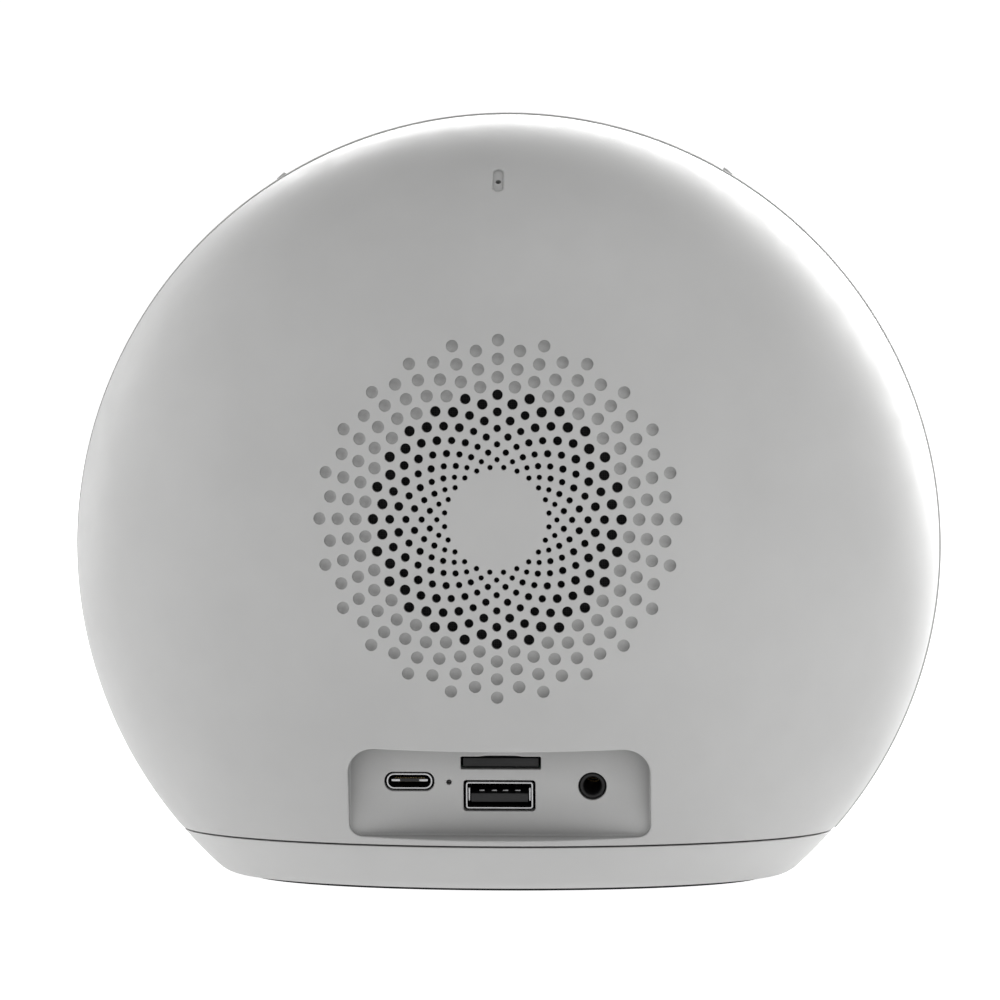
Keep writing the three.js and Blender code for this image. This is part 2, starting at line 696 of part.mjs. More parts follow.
// Coil, cone, dust cap, roll surround and spider: the moving system.
const coilRise = 5.4; // the coil's outer end in front of the basket's bottom
const coilFront = basketBottom + coilRise;
const coilOverlap = 0.2; // the coil's inner end stops short of the top plate's inner face
const coneBack = coilFront + gap;
const coneFront = flangeFace - 0.7;
const coneRadius = 20.4;
const coneSkin = 0.6;
const coil = tube(coilRadius - 0.5, coilRadius + 0.3, plateBack + coilOverlap, coilFront, 24);
add('voice_coil', inDriver(coil), 'copper');
add('speaker_cone', inDriver(turned([
  [coilRadius + 0.6, coneBack], [coneRadius, coneFront - coneSkin], [coneRadius, coneFront],
  [coilRadius - 0.6, coneBack + coneSkin], [coilRadius - 0.6, coneBack],
], 30)), 'cone');
const capRise = 3.4;
const capBase = coneBack + coneSkin + 2 * gap;
const capArc = (radius, rise, base, reverse) => {
  const points = [0, 1, 2, 3].map((i) => {
    const angle = (i / 4) * (Math.PI / 2);
    return [radius * Math.cos(angle), base + rise * Math.sin(angle)];
  });
  points.push([0, base + rise]);
  return reverse ? points.reverse() : points;
};
add('dust_cap', inDriver(turned([
  ...capArc(coilRadius - 0.2, capRise, capBase, false),
  ...capArc(coilRadius - 0.9, capRise - coneSkin, capBase, true),
], 24)), 'cone');

const surroundInner = coneRadius + gap;
const surroundOuter = basketRadius - gap;
const rollCentre = (surroundInner + surroundOuter) / 2;
const rollHalf = (surroundOuter - surroundInner) / 2;
const roll = (skin, reverse) => {
  const points = [0, 1, 2, 3, 4].map((i) => {
    const angle = (i / 4) * Math.PI;
    return [
      rollCentre + (rollHalf - skin) * Math.cos(angle),
      coneFront - coneSkin + (rollHalf - skin) * 0.9 * Math.sin(angle),
    ];
  });
  return reverse ? points.reverse() : points;
};
add('surround', inDriver(turned([...roll(0, false), ...roll(coneSkin, true)], 28)), 'rubber');
const spiderRise = 1.6; // above the basket's bottom
const spiderThickness = 0.5;
const spiderBack = basketBottom + basketWall + spiderRise;
const spiderRadius = magnetRadius - 2.4;
const spider = tube(coilRadius + 0.6, spiderRadius, spiderBack, spiderBack + spiderThickness, 24);
add('spider', inDriver(spider), 'amber');

const screwHead = 2.1;
const screwShank = 0.9;
function screw(headFace, length, headHeight = 1.4) {
  return turned([
    [0, headFace - headHeight], [screwHead, headFace - headHeight], [screwHead, headFace],
    [screwShank, headFace], [screwShank, headFace + length], [0, headFace + length],
  ], 8);
}
const flangeBack = flangeFace - flangeThickness - basketWall;
const driverScrewLength = bossFace + pilotDepth - gap - (flangeBack - gap);
aroundDriver(screw(flangeBack - gap, driverScrewLength), postCircle).forEach((geometry, i) => {
  add(`speaker_screw_${i + 1}`, geometry, 'steel');
});

// Dust mesh behind the grille: a thin skin that follows the dome's inner face inside the collar.
const meshRadius = bossInnerRadius - gap;
const dustMesh = solid(domeInside(wall + gap))
  .subtract(solid(domeInside(wall + gap + 0.5)))
  .intersect(solid(placed(rod(meshRadius, bossFace, domeDepth, 32), driverFrame)));
add('dust_mesh', geometryOf(dustMesh), 'mesh');

// ---- ports --------------------------------------------------------------------------------------
const inPort = (geometry) => placed(geometry, portFrame);
const portFace = -gap;

function metalShell(size, radius) {
  const [width, height] = [size.width - 2 * metalSheet, size.height - 2 * metalSheet];
  const outer = centredShape(size, size.width, size.height, radius);
  const inner = centredShape(size, width, height, radius - metalSheet);
  const body = solid(alongY(outer, portFace - size.depth, portFace, 5));
  return geometryOf(cut(body, alongY(inner, portFace - size.depth + metalSheet, portFace + 1, 5)));
}

add('usb_c_shell', inPort(metalShell(usbCSize, usbCSize.height * 0.46)), 'steel');
add('usb_c_tongue', inPort(box(
  [usbCSize.x - 3.35, usbCSize.x + 3.35],
  [portFace - usbCSize.depth + metalSheet + gap, portFace - 0.8],
  [usbCSize.z - 0.35, usbCSize.z + 0.35],
)), 'darkPlastic');
add('usb_a_shell', inPort(metalShell(usbASize, 0.55)), 'steel');
add('usb_a_tongue', inPort(box(
  [usbASize.x - 5.6, usbASize.x + 5.6],
  [portFace - usbASize.depth + metalSheet + gap, portFace - 0.9],
  [usbASize.z - 1.7, usbASize.z + 0.1],
)), 'darkPlastic');

const cardBox = [
  [cardSize.x - cardSize.width / 2, cardSize.x + cardSize.width / 2],
  [portFace - cardSize.depth, portFace - 0.3],
  [cardSize.z - cardSize.height / 2, cardSize.z + cardSize.height / 2],
];
const cardSocket = cut(solid(box(...cardBox)), box(
  [cardSize.x - cardSize.width / 2 + 0.6, cardSize.x + cardSize.width / 2 - 0.6],
  [portFace - cardSize.depth + 1, 1],
  [cardSize.z - 0.45, cardSize.z + 0.45],
));
add('card_socket', inPort(geometryOf(cardSocket)), 'darkPlastic');

function audioJack() {
  const at = (geometry) => geometry.translate(jackSize.x, 0, jackSize.z);
  const back = portFace - jackSize.depth;
  const body = box([-jackSize.width / 2, jackSize.width / 2], [back, -recessWall - gap],
    [-jackSize.height / 2, jackSize.height / 2]);
  const collar = rod(jackSize.collar / 2, -recessWall - gap - 1, portFace, 20);
  return cut(join(solid(at(body)), at(collar)), at(rod(jackSize.bore / 2, back + 1, 1, 16)));
}
add('audio_jack', inPort(geometryOf(audioJack())), 'darkPlastic');

const resetFace = -recessWall - gap;
const resetBody = { back: resetFace - 4.2, front: resetFace - 1.3, half: 1.7 };
const resetSide = [-resetBody.half, resetBody.half];
const resetWell = resetSize.plunger / 2 + gap;
const resetSwitch = cut(
  solid(box(resetSide, [resetBody.back, resetBody.front], resetSide)),
  box([-resetWell, resetWell], [resetBody.back + 1, resetFace], [-resetWell, resetWell]),
);
const atReset = (geometry) => inPort(geometry.translate(resetSize.x, 0, resetSize.z));
add('reset_switch', atReset(geometryOf(resetSwitch)), 'steel');
add('reset_plunger', atReset(rod(resetSize.plunger / 2, resetBody.back + 1.7, resetFace, 10)), 'key');

const ioBoardBack = -21;
const ioBoard = cut(
  solid(box(
    [-28, 28],
    [ioBoardBack, -recessWall - gap],
    [portBoardBottom, portBoardBottom + boardThickness],
  )),
  ...blockSides.map((side) => alongZ(
    new THREE.Shape().absarc(side * blockCentre, -7, pilotDiameter / 2, 0, 2 * Math.PI), 0, 10, 3,
  )),
);
add('port_board', inPort(geometryOf(ioBoard)), 'board');
blockSides.forEach((side, i) => {
  const bolt = screw(0, 3.2).rotateX(Math.PI / 2).translate(side * blockCentre, -7, portBoardBottom - gap);
  add(`port_board_screw_${i + 1}`, inPort(bolt), 'steel');
});

// ---- main board ---------------------------------------------------------------------------------
const boardLow = boardCentre - mainBoardHeight / 2;
const mainBoard = cut(
  solid(box(
    [-mainBoardWidth / 2, mainBoardWidth / 2],
    [boardFront, boardBack],
    [boardLow, boardLow + mainBoardHeight],
  )),
  ...atBoardHoles(rod(pilotDiameter / 2, boardFront - 1, boardBack + 1, 6)),
);
add('main_board', geometryOf(mainBoard), 'board');
const onBoard = boardBack + gap;
const canHeight = 2.2;
const canDepth = [onBoard, onBoard + canHeight];
add('processor_shield', box([-32, -4], canDepth, [boardCentre - 12, boardCentre + 16]), 'steel');
add('radio_shield', box([12, 30], canDepth, [boardCentre - 2, boardCentre + 14]), 'steel');
const padBack = onBoard + canHeight + gap;
add('thermal_pad', box([-28, -8], [padBack, padBack + 1], [boardCentre - 8, boardCentre + 12]), 'rubber');
const sinkBack = padBack + 1 + gap;
const sinkDepth = [sinkBack, sinkBack + 1.5];
add('heat_spreader', box([-40, 4], sinkDepth, [boardCentre - 16, boardCentre + 20]), 'frame');

// Antennas stuck to the chassis beside the board.
for (const [name, x] of [['antenna_left', -1], ['antenna_right', 1]]) {
  const [inner, outer] = [mainBoardWidth / 2 + 3, mainBoardWidth / 2 + 11];
  const span = x > 0 ? [inner, outer] : [-outer, -inner];
  const antennaDepth = [frameBack + gap, frameBack + gap + 0.5];
  add(name, box(span, antennaDepth, [centreHeight - 14, centreHeight + 14]), 'amber');
}

// ---- cables inside ------------------------------------------------------------------------------
const cableSkin = 0.3;
const cableFront = displayBack + 0.25;
add('display_ribbon', flatCable([
  [cableFront, ribbonHeight + 12], [cableFront, ribbonHeight], [boardFront - gap - cableSkin, ribbonHeight],
  [boardFront - gap - cableSkin, boardLow + 8],
], cableSkin, -ribbonWidth / 2, ribbonWidth / 2), 'amber');

const portBoardEnd = new THREE.Vector3(0, ioBoardBack + 3, portBoardBottom + boardThickness + gap + 0.3)
  .applyMatrix4(portFrame);
add('port_ribbon', flatCable([
  [boardBack + gap + 0.2, boardLow + 10], [boardBack + gap + 0.2, boardLow + 2],
  [boardBack + 4, boardLow - 6], [portBoardEnd.y - 8, portBoardEnd.z + 3], [portBoardEnd.y, portBoardEnd.z],
], cableSkin, -9, 9), 'amber');

// ---- base ---------------------------------------------------------------------------------------
const baseTop = seamHeight - gap / 2;
const plateBottom = baseBottom + 0.8;
const plateTop = plateBottom + plateThickness;
const bossReach = { side: halfWidthAt(baseBottom) - 16, rear: depthAt(centreHeight - baseBottom) - 13.6 };
const bossSpots = [[-bossReach.side, 0], [bossReach.side, 0], [0, bossReach.rear], [0, -4]];

function baseSkirt() {
  const levels = [
    [baseBottom, baseRounding],
    [baseBottom + baseRounding * 0.4, baseRounding * 0.25],
    [baseBottom + baseRounding, 0],
    [(baseBottom + baseTop) / 2, 0],
    [baseTop, 0],
  ];
  const outer = solid(lofted(levels.map(([height, inset]) => [height, baseOutline(height, inset)])));
  const plateHole = alongZ(new THREE.Shape(baseOutline(plateBottom, baseWall)), 0, plateTop + gap);
  const hollow = alongZ(new THREE.Shape(baseOutline(plateBottom, baseWall + 2)), plateTop, seamHeight + 10);
  const tongueTop = seamHeight + tongueReach;
  const tongueInset = wall + gap + 2;
  const tongue = cut(
    solid(alongZ(new THREE.Shape(baseOutline(seamHeight, tongueInset)), plateTop + gap + 2, tongueTop)),
    alongZ(new THREE.Shape(baseOutline(seamHeight, tongueInset + tongueThickness)), plateTop, tongueTop + 1),
    box([-domeRadius, domeRadius], [-ringDepth - 1, tongueReach + gap], [0, tongueTop + 1]),
    box([-recessWidth / 2 - 6, recessWidth / 2 + 6], [0, domeDepth], [0, tongueTop + 1]),
  );
  const bosses = bossSpots.map(([x, y]) => alongZ(
    new THREE.Shape().absarc(x, y, 3.4, 0, 2 * Math.PI), plateTop + gap, baseTop - 1, 5,
  ));
  const pilots = bossSpots.map(([x, y]) => alongZ(
    new THREE.Shape().absarc(x, y, pilotDiameter / 2, 0, 2 * Math.PI), plateTop - 1, baseTop - 2, 3,
  ));
  // A shelf across the skirt carries the ballast and the bosses.
  const shelf = alongZ(new THREE.Shape(baseOutline(plateBottom, baseWall)), baseTop - 2.4, baseTop - 1);
  return cut(join(cut(outer, plateHole, hollow), shelf, ...bosses).add(tongue), ...pilots);
}
add('base_skirt', geometryOf(baseSkirt()), 'base');

const basePlate = cut(
  solid(alongZ(new THREE.Shape(baseOutline(plateBottom, baseWall + gap)), plateBottom, plateTop)),
  ...bossSpots.map(([x, y]) => alongZ(
    new THREE.Shape().absarc(x, y, pilotDiameter / 2, 0, 2 * Math.PI), plateBottom - 1, plateTop + 1, 3,
  )),
);
add('base_plate', geometryOf(basePlate), 'darkPlastic');

const foot = cut(
  solid(alongZ(new THREE.Shape(baseOutline(plateBottom, footInset)), 0, plateBottom - gap)),
  ...bossSpots.map(([x, y]) => alongZ(
    new THREE.Shape().absarc(x, y, screwHead + 0.6, 0, 2 * Math.PI), -1, plateBottom + 1, 5,
  )),
);
add('rubber_foot', geometryOf(foot), 'rubber');

bossSpots.forEach(([x, y], i) => {
  const bolt = screw(0, 5.4, 1).rotateX(Math.PI / 2).translate(x, y, plateBottom - gap);
  add(`base_screw_${i + 1}`, bolt, 'steel');
});

const ballastBottom = baseTop - 1 + gap;
const hollowHalf = halfWidthAt(plateBottom) - baseWall - 2;
const hollowDepth = (halfWidthAt(plateBottom) * domeDepth) / domeRadius - baseWall - 2;
const ballastDepth = hollowDepth * Math.sqrt(1 - (ballastHalf / hollowHalf) ** 2) - ballastMargin;
const ballastTop = ballastBottom + ballastHeight;
add('ballast', box([-ballastHalf, ballastHalf], [0, ballastDepth], [ballastBottom, ballastTop]), 'steel');

export default speaker;
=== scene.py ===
"""A table-top smart speaker seen from behind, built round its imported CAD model.

Metres, +Z up. The glass faces -Y and the dome faces +Y. Shapes are worked out about the ring's centre, which
is the middle of the circle where the bezel meets the dome. Their meshes are then moved to their place.
"""

import json
import math

import bmesh
import bpy
import numpy as np
from mathutils import Matrix, Vector, geometry, kdtree


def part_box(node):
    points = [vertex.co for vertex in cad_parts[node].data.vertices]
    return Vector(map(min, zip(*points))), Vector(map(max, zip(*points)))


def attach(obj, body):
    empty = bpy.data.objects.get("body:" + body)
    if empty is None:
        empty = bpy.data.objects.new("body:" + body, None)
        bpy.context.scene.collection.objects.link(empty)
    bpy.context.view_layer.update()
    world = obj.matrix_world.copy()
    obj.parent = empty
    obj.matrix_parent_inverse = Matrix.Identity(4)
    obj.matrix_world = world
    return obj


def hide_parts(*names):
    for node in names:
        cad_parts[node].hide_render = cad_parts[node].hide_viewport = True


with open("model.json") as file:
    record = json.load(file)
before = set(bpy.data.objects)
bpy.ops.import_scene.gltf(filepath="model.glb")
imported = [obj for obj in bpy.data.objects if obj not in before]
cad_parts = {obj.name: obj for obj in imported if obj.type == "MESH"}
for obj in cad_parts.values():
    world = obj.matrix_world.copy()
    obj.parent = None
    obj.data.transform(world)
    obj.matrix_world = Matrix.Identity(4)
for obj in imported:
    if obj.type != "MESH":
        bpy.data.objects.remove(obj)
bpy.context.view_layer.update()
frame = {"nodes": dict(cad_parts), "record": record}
MM = 0.001

# ---- sizes from the frame ----
shell_low, shell_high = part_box("rear_shell")
ring_low, ring_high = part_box("front_ring")
DOME_RADIUS = shell_high.x
DOME_DEPTH = shell_high.y - shell_low.y
RING_CENTRE = Vector((0, shell_low.y, shell_high.z - DOME_RADIUS))
RING_RADIUS = ring_high.x
RING_FRONT = ring_low.y - RING_CENTRE.y
SEAM = shell_low.z - RING_CENTRE.z  # the shell's lower edge, below the ring's centre

# ---- sizes of the rear shell ----
WALL = 2.4 * MM
RIM_ROUNDING = 0.3 * MM

PATTERN_RISE = 7.9 * MM  # the hole pattern's centre above the ring's centre
HOLES_PER_RING = 24
HOLE_RINGS = 10
DIMPLE_RINGS = 6
FIRST_RING_RADIUS = 10.1 * MM
FIRST_RING_PITCH = 1.42 * MM
PITCH_GROWTH = 0.028 * MM
HOLE_DIAMETERS = (1, 1.2, 1.4, 1.7, 2)  # millimetres, each for two rings, from the first pair outwards
HOLE_ROUNDING = 0.14 * MM
DIMPLE_RADIUS = 1.15 * MM
DIMPLE_ROUNDING = 0.12 * MM
DIMPLE_DEPTH = 0.9 * MM
DIMPLE_SIDE = 0.4 * MM  # the depth of the dimple's steep side
DIMPLE_BOWL = (0.94, 0.8, 0.5)  # the bowl's rows of points, as shares of the dimple's radius
HOLE_SIDES = 24

CONTROL_TURN = math.radians(0.6)
MIC_FROM_RIM = 13 * MM
MIC_HALF_WIDTH = 0.92 * MM
MIC_STRAIGHT = 2.05 * MM  # half of the slot's straight length
MIC_ROUNDING = 0.65 * MM
MIC_DEPTH = 0.6 * MM
MIC_HOLE_RADIUS = 0.5 * MM

PORT_TILT = math.radians(10)
PORT_SINK = 7.3 * MM
PORT_RISE = 10.9 * MM
SEAM_HALF_GAP = 0.15 * MM
RECESS_HALF_WIDTH = 29.3 * MM
RECESS_TOP = 9.8 * MM
RECESS_BOTTOM = -9.05 * MM
RECESS_TOP_RADIUS = 5.4 * MM
RECESS_BOTTOM_RADIUS = 2.5 * MM
RECESS_ROUNDING = 0.45 * MM
RECESS_FILLET = 0.4 * MM
RECESS_WALL = 2 * MM
RECESS_LOW_WALL = 0.8 * MM
GRID_STEP = 2.2 * MM


# ---- gathering a mesh ----
class Skin:
    """Points with their normals, and the faces between them, gathered for one mesh."""

    def __init__(self):
        self.points = []
        self.normals = []
        self.faces = []

    def add(self, points, normals):
        """Adds points with their normals and returns their numbers."""
        first = len(self.points)
        points = np.asarray(points, float).reshape(-1, 3)
        self.points.extend(points)
        self.normals.extend(np.broadcast_to(np.asarray(normals, float), points.shape))
        return list(range(first, len(self.points)))

    def at(self, numbers):
        return np.array([self.points[i] for i in numbers])

    def facing(self, numbers):
        return np.array([self.normals[i] for i in numbers])

    def band(self, one, other):
        """Four-sided faces between two closed loops of as many points."""
        for i, (a, b) in enumerate(zip(one, other)):
            c, d = other[(i + 1) % len(other)], one[(i + 1) % len(one)]
            self.faces.append((a, b, c, d))

    def fan(self, loop, point, normal):
        """Triangles from a closed loop to one point."""
        (hub,) = self.add([point], [normal])
        for i, a in enumerate(loop):
            self.faces.append((a, loop[(i + 1) % len(loop)], hub))

    def wall(self, loop, points, normals):
        """A band from a loop to new points, which it returns."""
        new = self.add(points, normals)
        self.band(loop, new)
        return new

    def turn_edge(self, loop, corner, end, end_normals, steps=3):
        """A rounded edge from a loop, past the sharp corner that it replaces, to the end's points."""
        start, start_normals = self.at(loop), self.facing(loop)
        corner, end = np.asarray(corner), np.asarray(end)
        end_normals = np.broadcast_to(end_normals, start.shape)
        for t in np.linspace(0, 1, steps + 1)[1:]:
            points = (1 - t) ** 2 * start + 2 * t * (1 - t) * corner + t**2 * end
            loop = self.wall(loop, points, unit((1 - t) * start_normals + t * end_normals))
        return loop

    def made(self, name, place=RING_CENTRE, matrix=None):
        """The object of this mesh, closed faces out, with its normals as gathered."""
        mesh = bpy.data.meshes.new(name)
        mesh.from_pydata([tuple(p) for p in self.points], [], self.faces)
        work = bmesh.new()
        work.from_mesh(mesh)
        bmesh.ops.recalc_face_normals(work, faces=work.faces)
        work.to_mesh(mesh)
        work.free()
        mesh.shade_smooth()
        mesh.normals_split_custom_set_from_vertices([tuple(n) for n in self.normals])
        mesh.transform(Matrix.Translation(place) @ (matrix or Matrix.Identity(4)))
        return linked(name, mesh)


def linked(name, data):
    obj = bpy.data.objects.new(name, data)
    bpy.context.scene.collection.objects.link(obj)
    return obj


def unit(vectors):
    return vectors / np.linalg.norm(vectors, axis=-1, keepdims=True)


def inside(point, outline):
    """Whether a 2-D point lies in a closed outline."""
    x0, z0 = outline.T
    x1, z1 = np.roll(x0, -1), np.roll(z0, -1)
    crosses = (z0 > point[1]) != (z1 > point[1])
    at = x0[crosses] + (point[1] - z0[crosses]) / (z1 - z0)[crosses] * (x1 - x0)[crosses]
    return np.count_nonzero(at > point[0]) % 2 == 1


def triangles(flat, loops):
    """The triangles between an outline, which is the first loop, and the holes in it, as point numbers."""
    flat = np.asarray(flat)
    edges = [(a, b) for loop in loops for a, b in zip(loop, loop[1:] + loop[:1])]
    owner = {point: number for number, loop in enumerate(loops) for point in loop}
    made = geometry.delaunay_2d_cdt([Vector(p) for p in flat], edges, [], 1, 1e-9)
    kept = []
    for face in made[2]:
        face = [made[3][i][0] for i in face]
        owners = {owner.get(i) for i in face}
        if len(owners) == 1 and None not in owners:
            (number,) = owners
            if inside(flat[face].mean(axis=0), flat[loops[number]]) != (number == 0):
                continue
        kept.append(face)
    return kept


# ---- the dome ----
def semi_axes(inset=0):
    return np.array((DOME_RADIUS - inset, DOME_DEPTH - inset, DOME_RADIUS - inset))


def onto_dome(points, direction=(0, 1, 0), inset=0):
    """Moves points along a direction until they lie on the dome, drawn in by an inset."""
    p, d = points / semi_axes(inset), direction / semi_axes(inset)
    a, b, c = d @ d, p @ d, np.sum(p * p, axis=1) - 1
    reach = (-b + np.sqrt(b * b - a * c)) / a
    return points + reach[:, None] * np.asarray(direction)


def dome_normals(points, inset=0):
    return unit(np.asarray(points) / semi_axes(inset) ** 2)


def across(x, z):
    """Points in the ring plane."""
    return np.column_stack((x, np.zeros_like(x), z))


def inner_twin(points):
    """Where the inner face of the wall lies behind points of the dome's outer face."""
    x, z = points[:, 0], points[:, 2]
    shrink = 1 - (WALL / DOME_RADIUS) * (np.hypot(x, z) / DOME_RADIUS) ** 4
    return onto_dome(across(x * shrink, z * shrink), inset=WALL)


def flattened(points):
    """Maps the dome to a plane in such a way that its steep edge keeps its length."""
    x, z = points[:, 0], points[:, 2]
    radius = np.hypot(x, z)
    angle = np.arctan2(radius / DOME_RADIUS, points[:, 1] / DOME_DEPTH)
    stretch = DOME_RADIUS * angle / np.maximum(radius, 1e-9)
    return np.column_stack((x * stretch, z * stretch))


def circle(radius, count, centre=(0, 0)):
    angles = np.arange(count) * 2 * math.pi / count
    return centre[0] + radius * np.cos(angles), centre[1] + radius * np.sin(angles)


def stadium(half_width, straight, per_end=14):
    """A slot with round ends, its length along Z."""
    turn = np.linspace(0, math.pi, per_end + 1)
    x = np.concatenate((half_width * np.cos(turn), -half_width * np.cos(turn)))
    z = np.concatenate((straight + half_width * np.sin(turn), -straight - half_width * np.sin(turn)))
    return x, z


def rounded_rectangle(low, high, low_radius, high_radius=None, per_corner=8, along=(12, 4)):
    """Points round a rectangle with its own corner radii at the bottom and at the top."""
    high_radius = low_radius if high_radius is None else high_radius
    corners = (
        (high[0] - low_radius, low[1] + low_radius, low_radius, -0.5),
        (high[0] - high_radius, high[1] - high_radius, high_radius, 0),
        (low[0] + high_radius, high[1] - high_radius, high_radius, 0.5),
        (low[0] + low_radius, low[1] + low_radius, low_radius, 1),
    )
    arcs = []
    for x, z, radius, start in corners:
        turn = math.pi * np.linspace(start, start + 0.5, per_corner + 1)
        arcs.append(np.column_stack((x + radius * np.cos(turn), z + radius * np.sin(turn))))
    points = []
    for i, arc in enumerate(arcs):
        sides = along[(i + 1) % 2]
        start, end = arc[-1], arcs[(i + 1) % 4][0]
        points.extend(arc)
        points.extend(start + (end - start) * k / sides for k in range(1, sides))
    return tuple(np.array(points).T)


def rim_loop(inset, lift):
    """The shell's edge: over the top along the ring plane, and back along the seam, both raised by a lift."""
    radius, depth, _ = semi_axes(inset)
    level = SEAM + lift
    arc_radius = radius * math.sqrt(1 - (lift / depth) ** 2)
    start = math.asin(level / arc_radius)
    arc = np.linspace(start, math.pi - start, 260)
    half_width = math.sqrt(radius**2 - level**2)
    half_depth = half_width * depth / radius
    end = math.asin(lift / half_depth)
    back = np.linspace(math.pi - end, end, 150)[1:-1]
    over = np.column_stack((arc_radius * np.cos(arc), np.full_like(arc, lift), arc_radius * np.sin(arc)))
    seam = np.column_stack((half_width * np.cos(back), half_depth * np.sin(back), np.full_like(back, level)))
    down = np.array([(0, -1, 0)] * len(over) + [(0, 0, -1)] * len(seam), float)
    return np.concatenate((over, seam)), down


# ---- the port recess ----
PORT_AXIS = np.array((0, math.cos(PORT_TILT), -math.sin(PORT_TILT)))
PORT_UP = np.array((0, math.sin(PORT_TILT), math.cos(PORT_TILT)))
port_height = SEAM - SEAM_HALF_GAP + PORT_RISE
port_depth = DOME_DEPTH * math.sqrt(1 - (port_height / DOME_RADIUS) ** 2) - PORT_SINK
PORT_ORIGIN = np.array((0, port_depth, port_height))


def in_port(x, z, out=0):
    """Points of the port's own plane, which faces out and a little down."""
    x, z, out = np.broadcast_arrays(x, z, out)
    return PORT_ORIGIN + np.outer(x, (1, 0, 0)) + np.outer(out, PORT_AXIS) + np.outer(z, PORT_UP)


def recess_outline(grow, grow_low=None):
    grow_low = grow if grow_low is None else grow_low
    low = (-RECESS_HALF_WIDTH - grow, RECESS_BOTTOM - grow_low)
    high = (RECESS_HALF_WIDTH + grow, RECESS_TOP + grow)
    return rounded_rectangle(
        low, high, RECESS_BOTTOM_RADIUS + grow_low, RECESS_TOP_RADIUS + grow, per_corner=14, along=(50, 10)
    )


def outward(x, z):
    """The directions out of a closed outline, as seen in the port's plane."""
    along = np.column_stack((np.roll(x, -1) - np.roll(x, 1), np.roll(z, -1) - np.roll(z, 1)))
    return unit(np.outer(along[:, 1], (1, 0, 0)) - np.outer(along[:, 0], PORT_UP))


# Each opening in the recess floor: its middle, half sizes and corner radius in the port's plane.
OPENINGS = {
    "usb_c": ((17.6, 1.72), (4.85, 1.9), 1.71),
    "usb_a": ((0.1, -1.1), (7, 3.1), 0.6),
    "card": ((-0.2, 5.5), (7.8, 1.25), 0.25),
    "jack": ((-18, 0.9), (2.75, 2.75), 2.74),
    "reset": ((9.9, 1.6), (0.5, 0.5), 0.49),
}
OPENING_ROUNDING = 0.22 * MM
SCALLOP_HALF_WIDTH = 3.9 * MM  # the thumb scallop above the card slot
SCALLOP_ROUNDING = 0.9 * MM


def opening_outline(name, grow=0):
    (x, z), (half_width, half_height), radius = OPENINGS[name]
    low = ((x - half_width) * MM - grow, (z - half_height) * MM - grow)
    high = ((x + half_width) * MM + grow, (z + half_height) * MM + grow)
    return rounded_rectangle(low, high, radius * MM + grow, per_corner=7, along=(24, 4))


def edge_size(name, x, z):
    """How far an opening's edge is rounded: more in the scallop, where a thumb reaches the card."""
    size = np.full_like(x, OPENING_ROUNDING)
    if name == "card":
        (middle, height), _, _ = OPENINGS[name]
        share = np.clip(1 - np.abs(x - middle * MM) / SCALLOP_HALF_WIDTH, 0, 1)
        dip = np.where(z > height * MM, np.sqrt(np.minimum(share * 3, 1)), 0)
        size += dip * (SCALLOP_ROUNDING - OPENING_ROUNDING)
    return size


def recess(skin, edge, twin_edge):
    """The recess from its edge on the dome: its wall, floor and openings, and the wall's inner face."""
    sides = outward(*recess_outline(0))
    corner = onto_dome(in_port(*recess_outline(0)), PORT_AXIS)
    loop = skin.turn_edge(edge, corner, corner - RECESS_ROUNDING * PORT_AXIS, -sides)
    foot = in_port(*recess_outline(0), RECESS_FILLET)
    loop = skin.wall(loop, foot, -sides)
    flat_x, flat_z = recess_outline(-RECESS_FILLET)
    loop = skin.turn_edge(loop, in_port(*recess_outline(0)), in_port(flat_x, flat_z), PORT_AXIS, 4)
    twin_x, twin_z = recess_outline(RECESS_WALL, RECESS_LOW_WALL)
    twin_loop = skin.wall(twin_edge, in_port(twin_x, twin_z, -RECESS_WALL), -PORT_AXIS)

    flat = np.column_stack((flat_x, flat_z)).tolist()
    numbers, twins, loops = list(loop), list(twin_loop), [list(range(len(loop)))]
    for name in OPENINGS:
        x, z = opening_outline(name)
        out = outward(x, z)
        size = edge_size(name, x, z)
        grown = in_port(x, z) + size[:, None] * out
        start = skin.add(grown, PORT_AXIS)
        below = in_port(x, z) - size[:, None] * PORT_AXIS
        end = skin.turn_edge(start, in_port(x, z), below, -out)
        end = skin.wall(end, in_port(x, z, -RECESS_WALL), -out)
        place = np.column_stack(((grown - PORT_ORIGIN)[:, 0], (grown - PORT_ORIGIN) @ PORT_UP))
        loops.append(list(range(len(flat), len(flat) + len(place))))
        flat.extend(place.tolist())
        numbers.extend(start)
        twins.extend(end)

    for a, b, c in triangles(flat, loops):
        skin.faces.append((numbers[a], numbers[b], numbers[c]))
        skin.faces.append((twins[c], twins[b], twins[a]))


# ---- the microphone slot ----
mic_height = DOME_RADIUS - MIC_FROM_RIM
mic_place = mic_height * np.array([[math.sin(CONTROL_TURN)], [math.cos(CONTROL_TURN)]])
MIC_ORIGIN = onto_dome(across(*mic_place))[0]
MIC_AXIS = dome_normals(MIC_ORIGIN)
MIC_RIGHT = unit(np.cross(MIC_AXIS, MIC_ORIGIN * (1, 0, 1)))
MIC_UP = np.cross(MIC_RIGHT, MIC_AXIS)


def in_mic(x, z, out=0):
    x, z, out = np.broadcast_arrays(x, z, out)
    return MIC_ORIGIN + np.outer(x, MIC_RIGHT) + np.outer(out, MIC_AXIS) + np.outer(z, MIC_UP)


def mic_outward(x, z):
    middle = np.clip(z, -MIC_STRAIGHT, MIC_STRAIGHT)
    return unit(np.outer(x, MIC_RIGHT) + np.outer(z - middle, MIC_UP))


def mic_edge(grow):
    return onto_dome(in_mic(*stadium(MIC_HALF_WIDTH + grow, MIC_STRAIGHT)), MIC_AXIS)


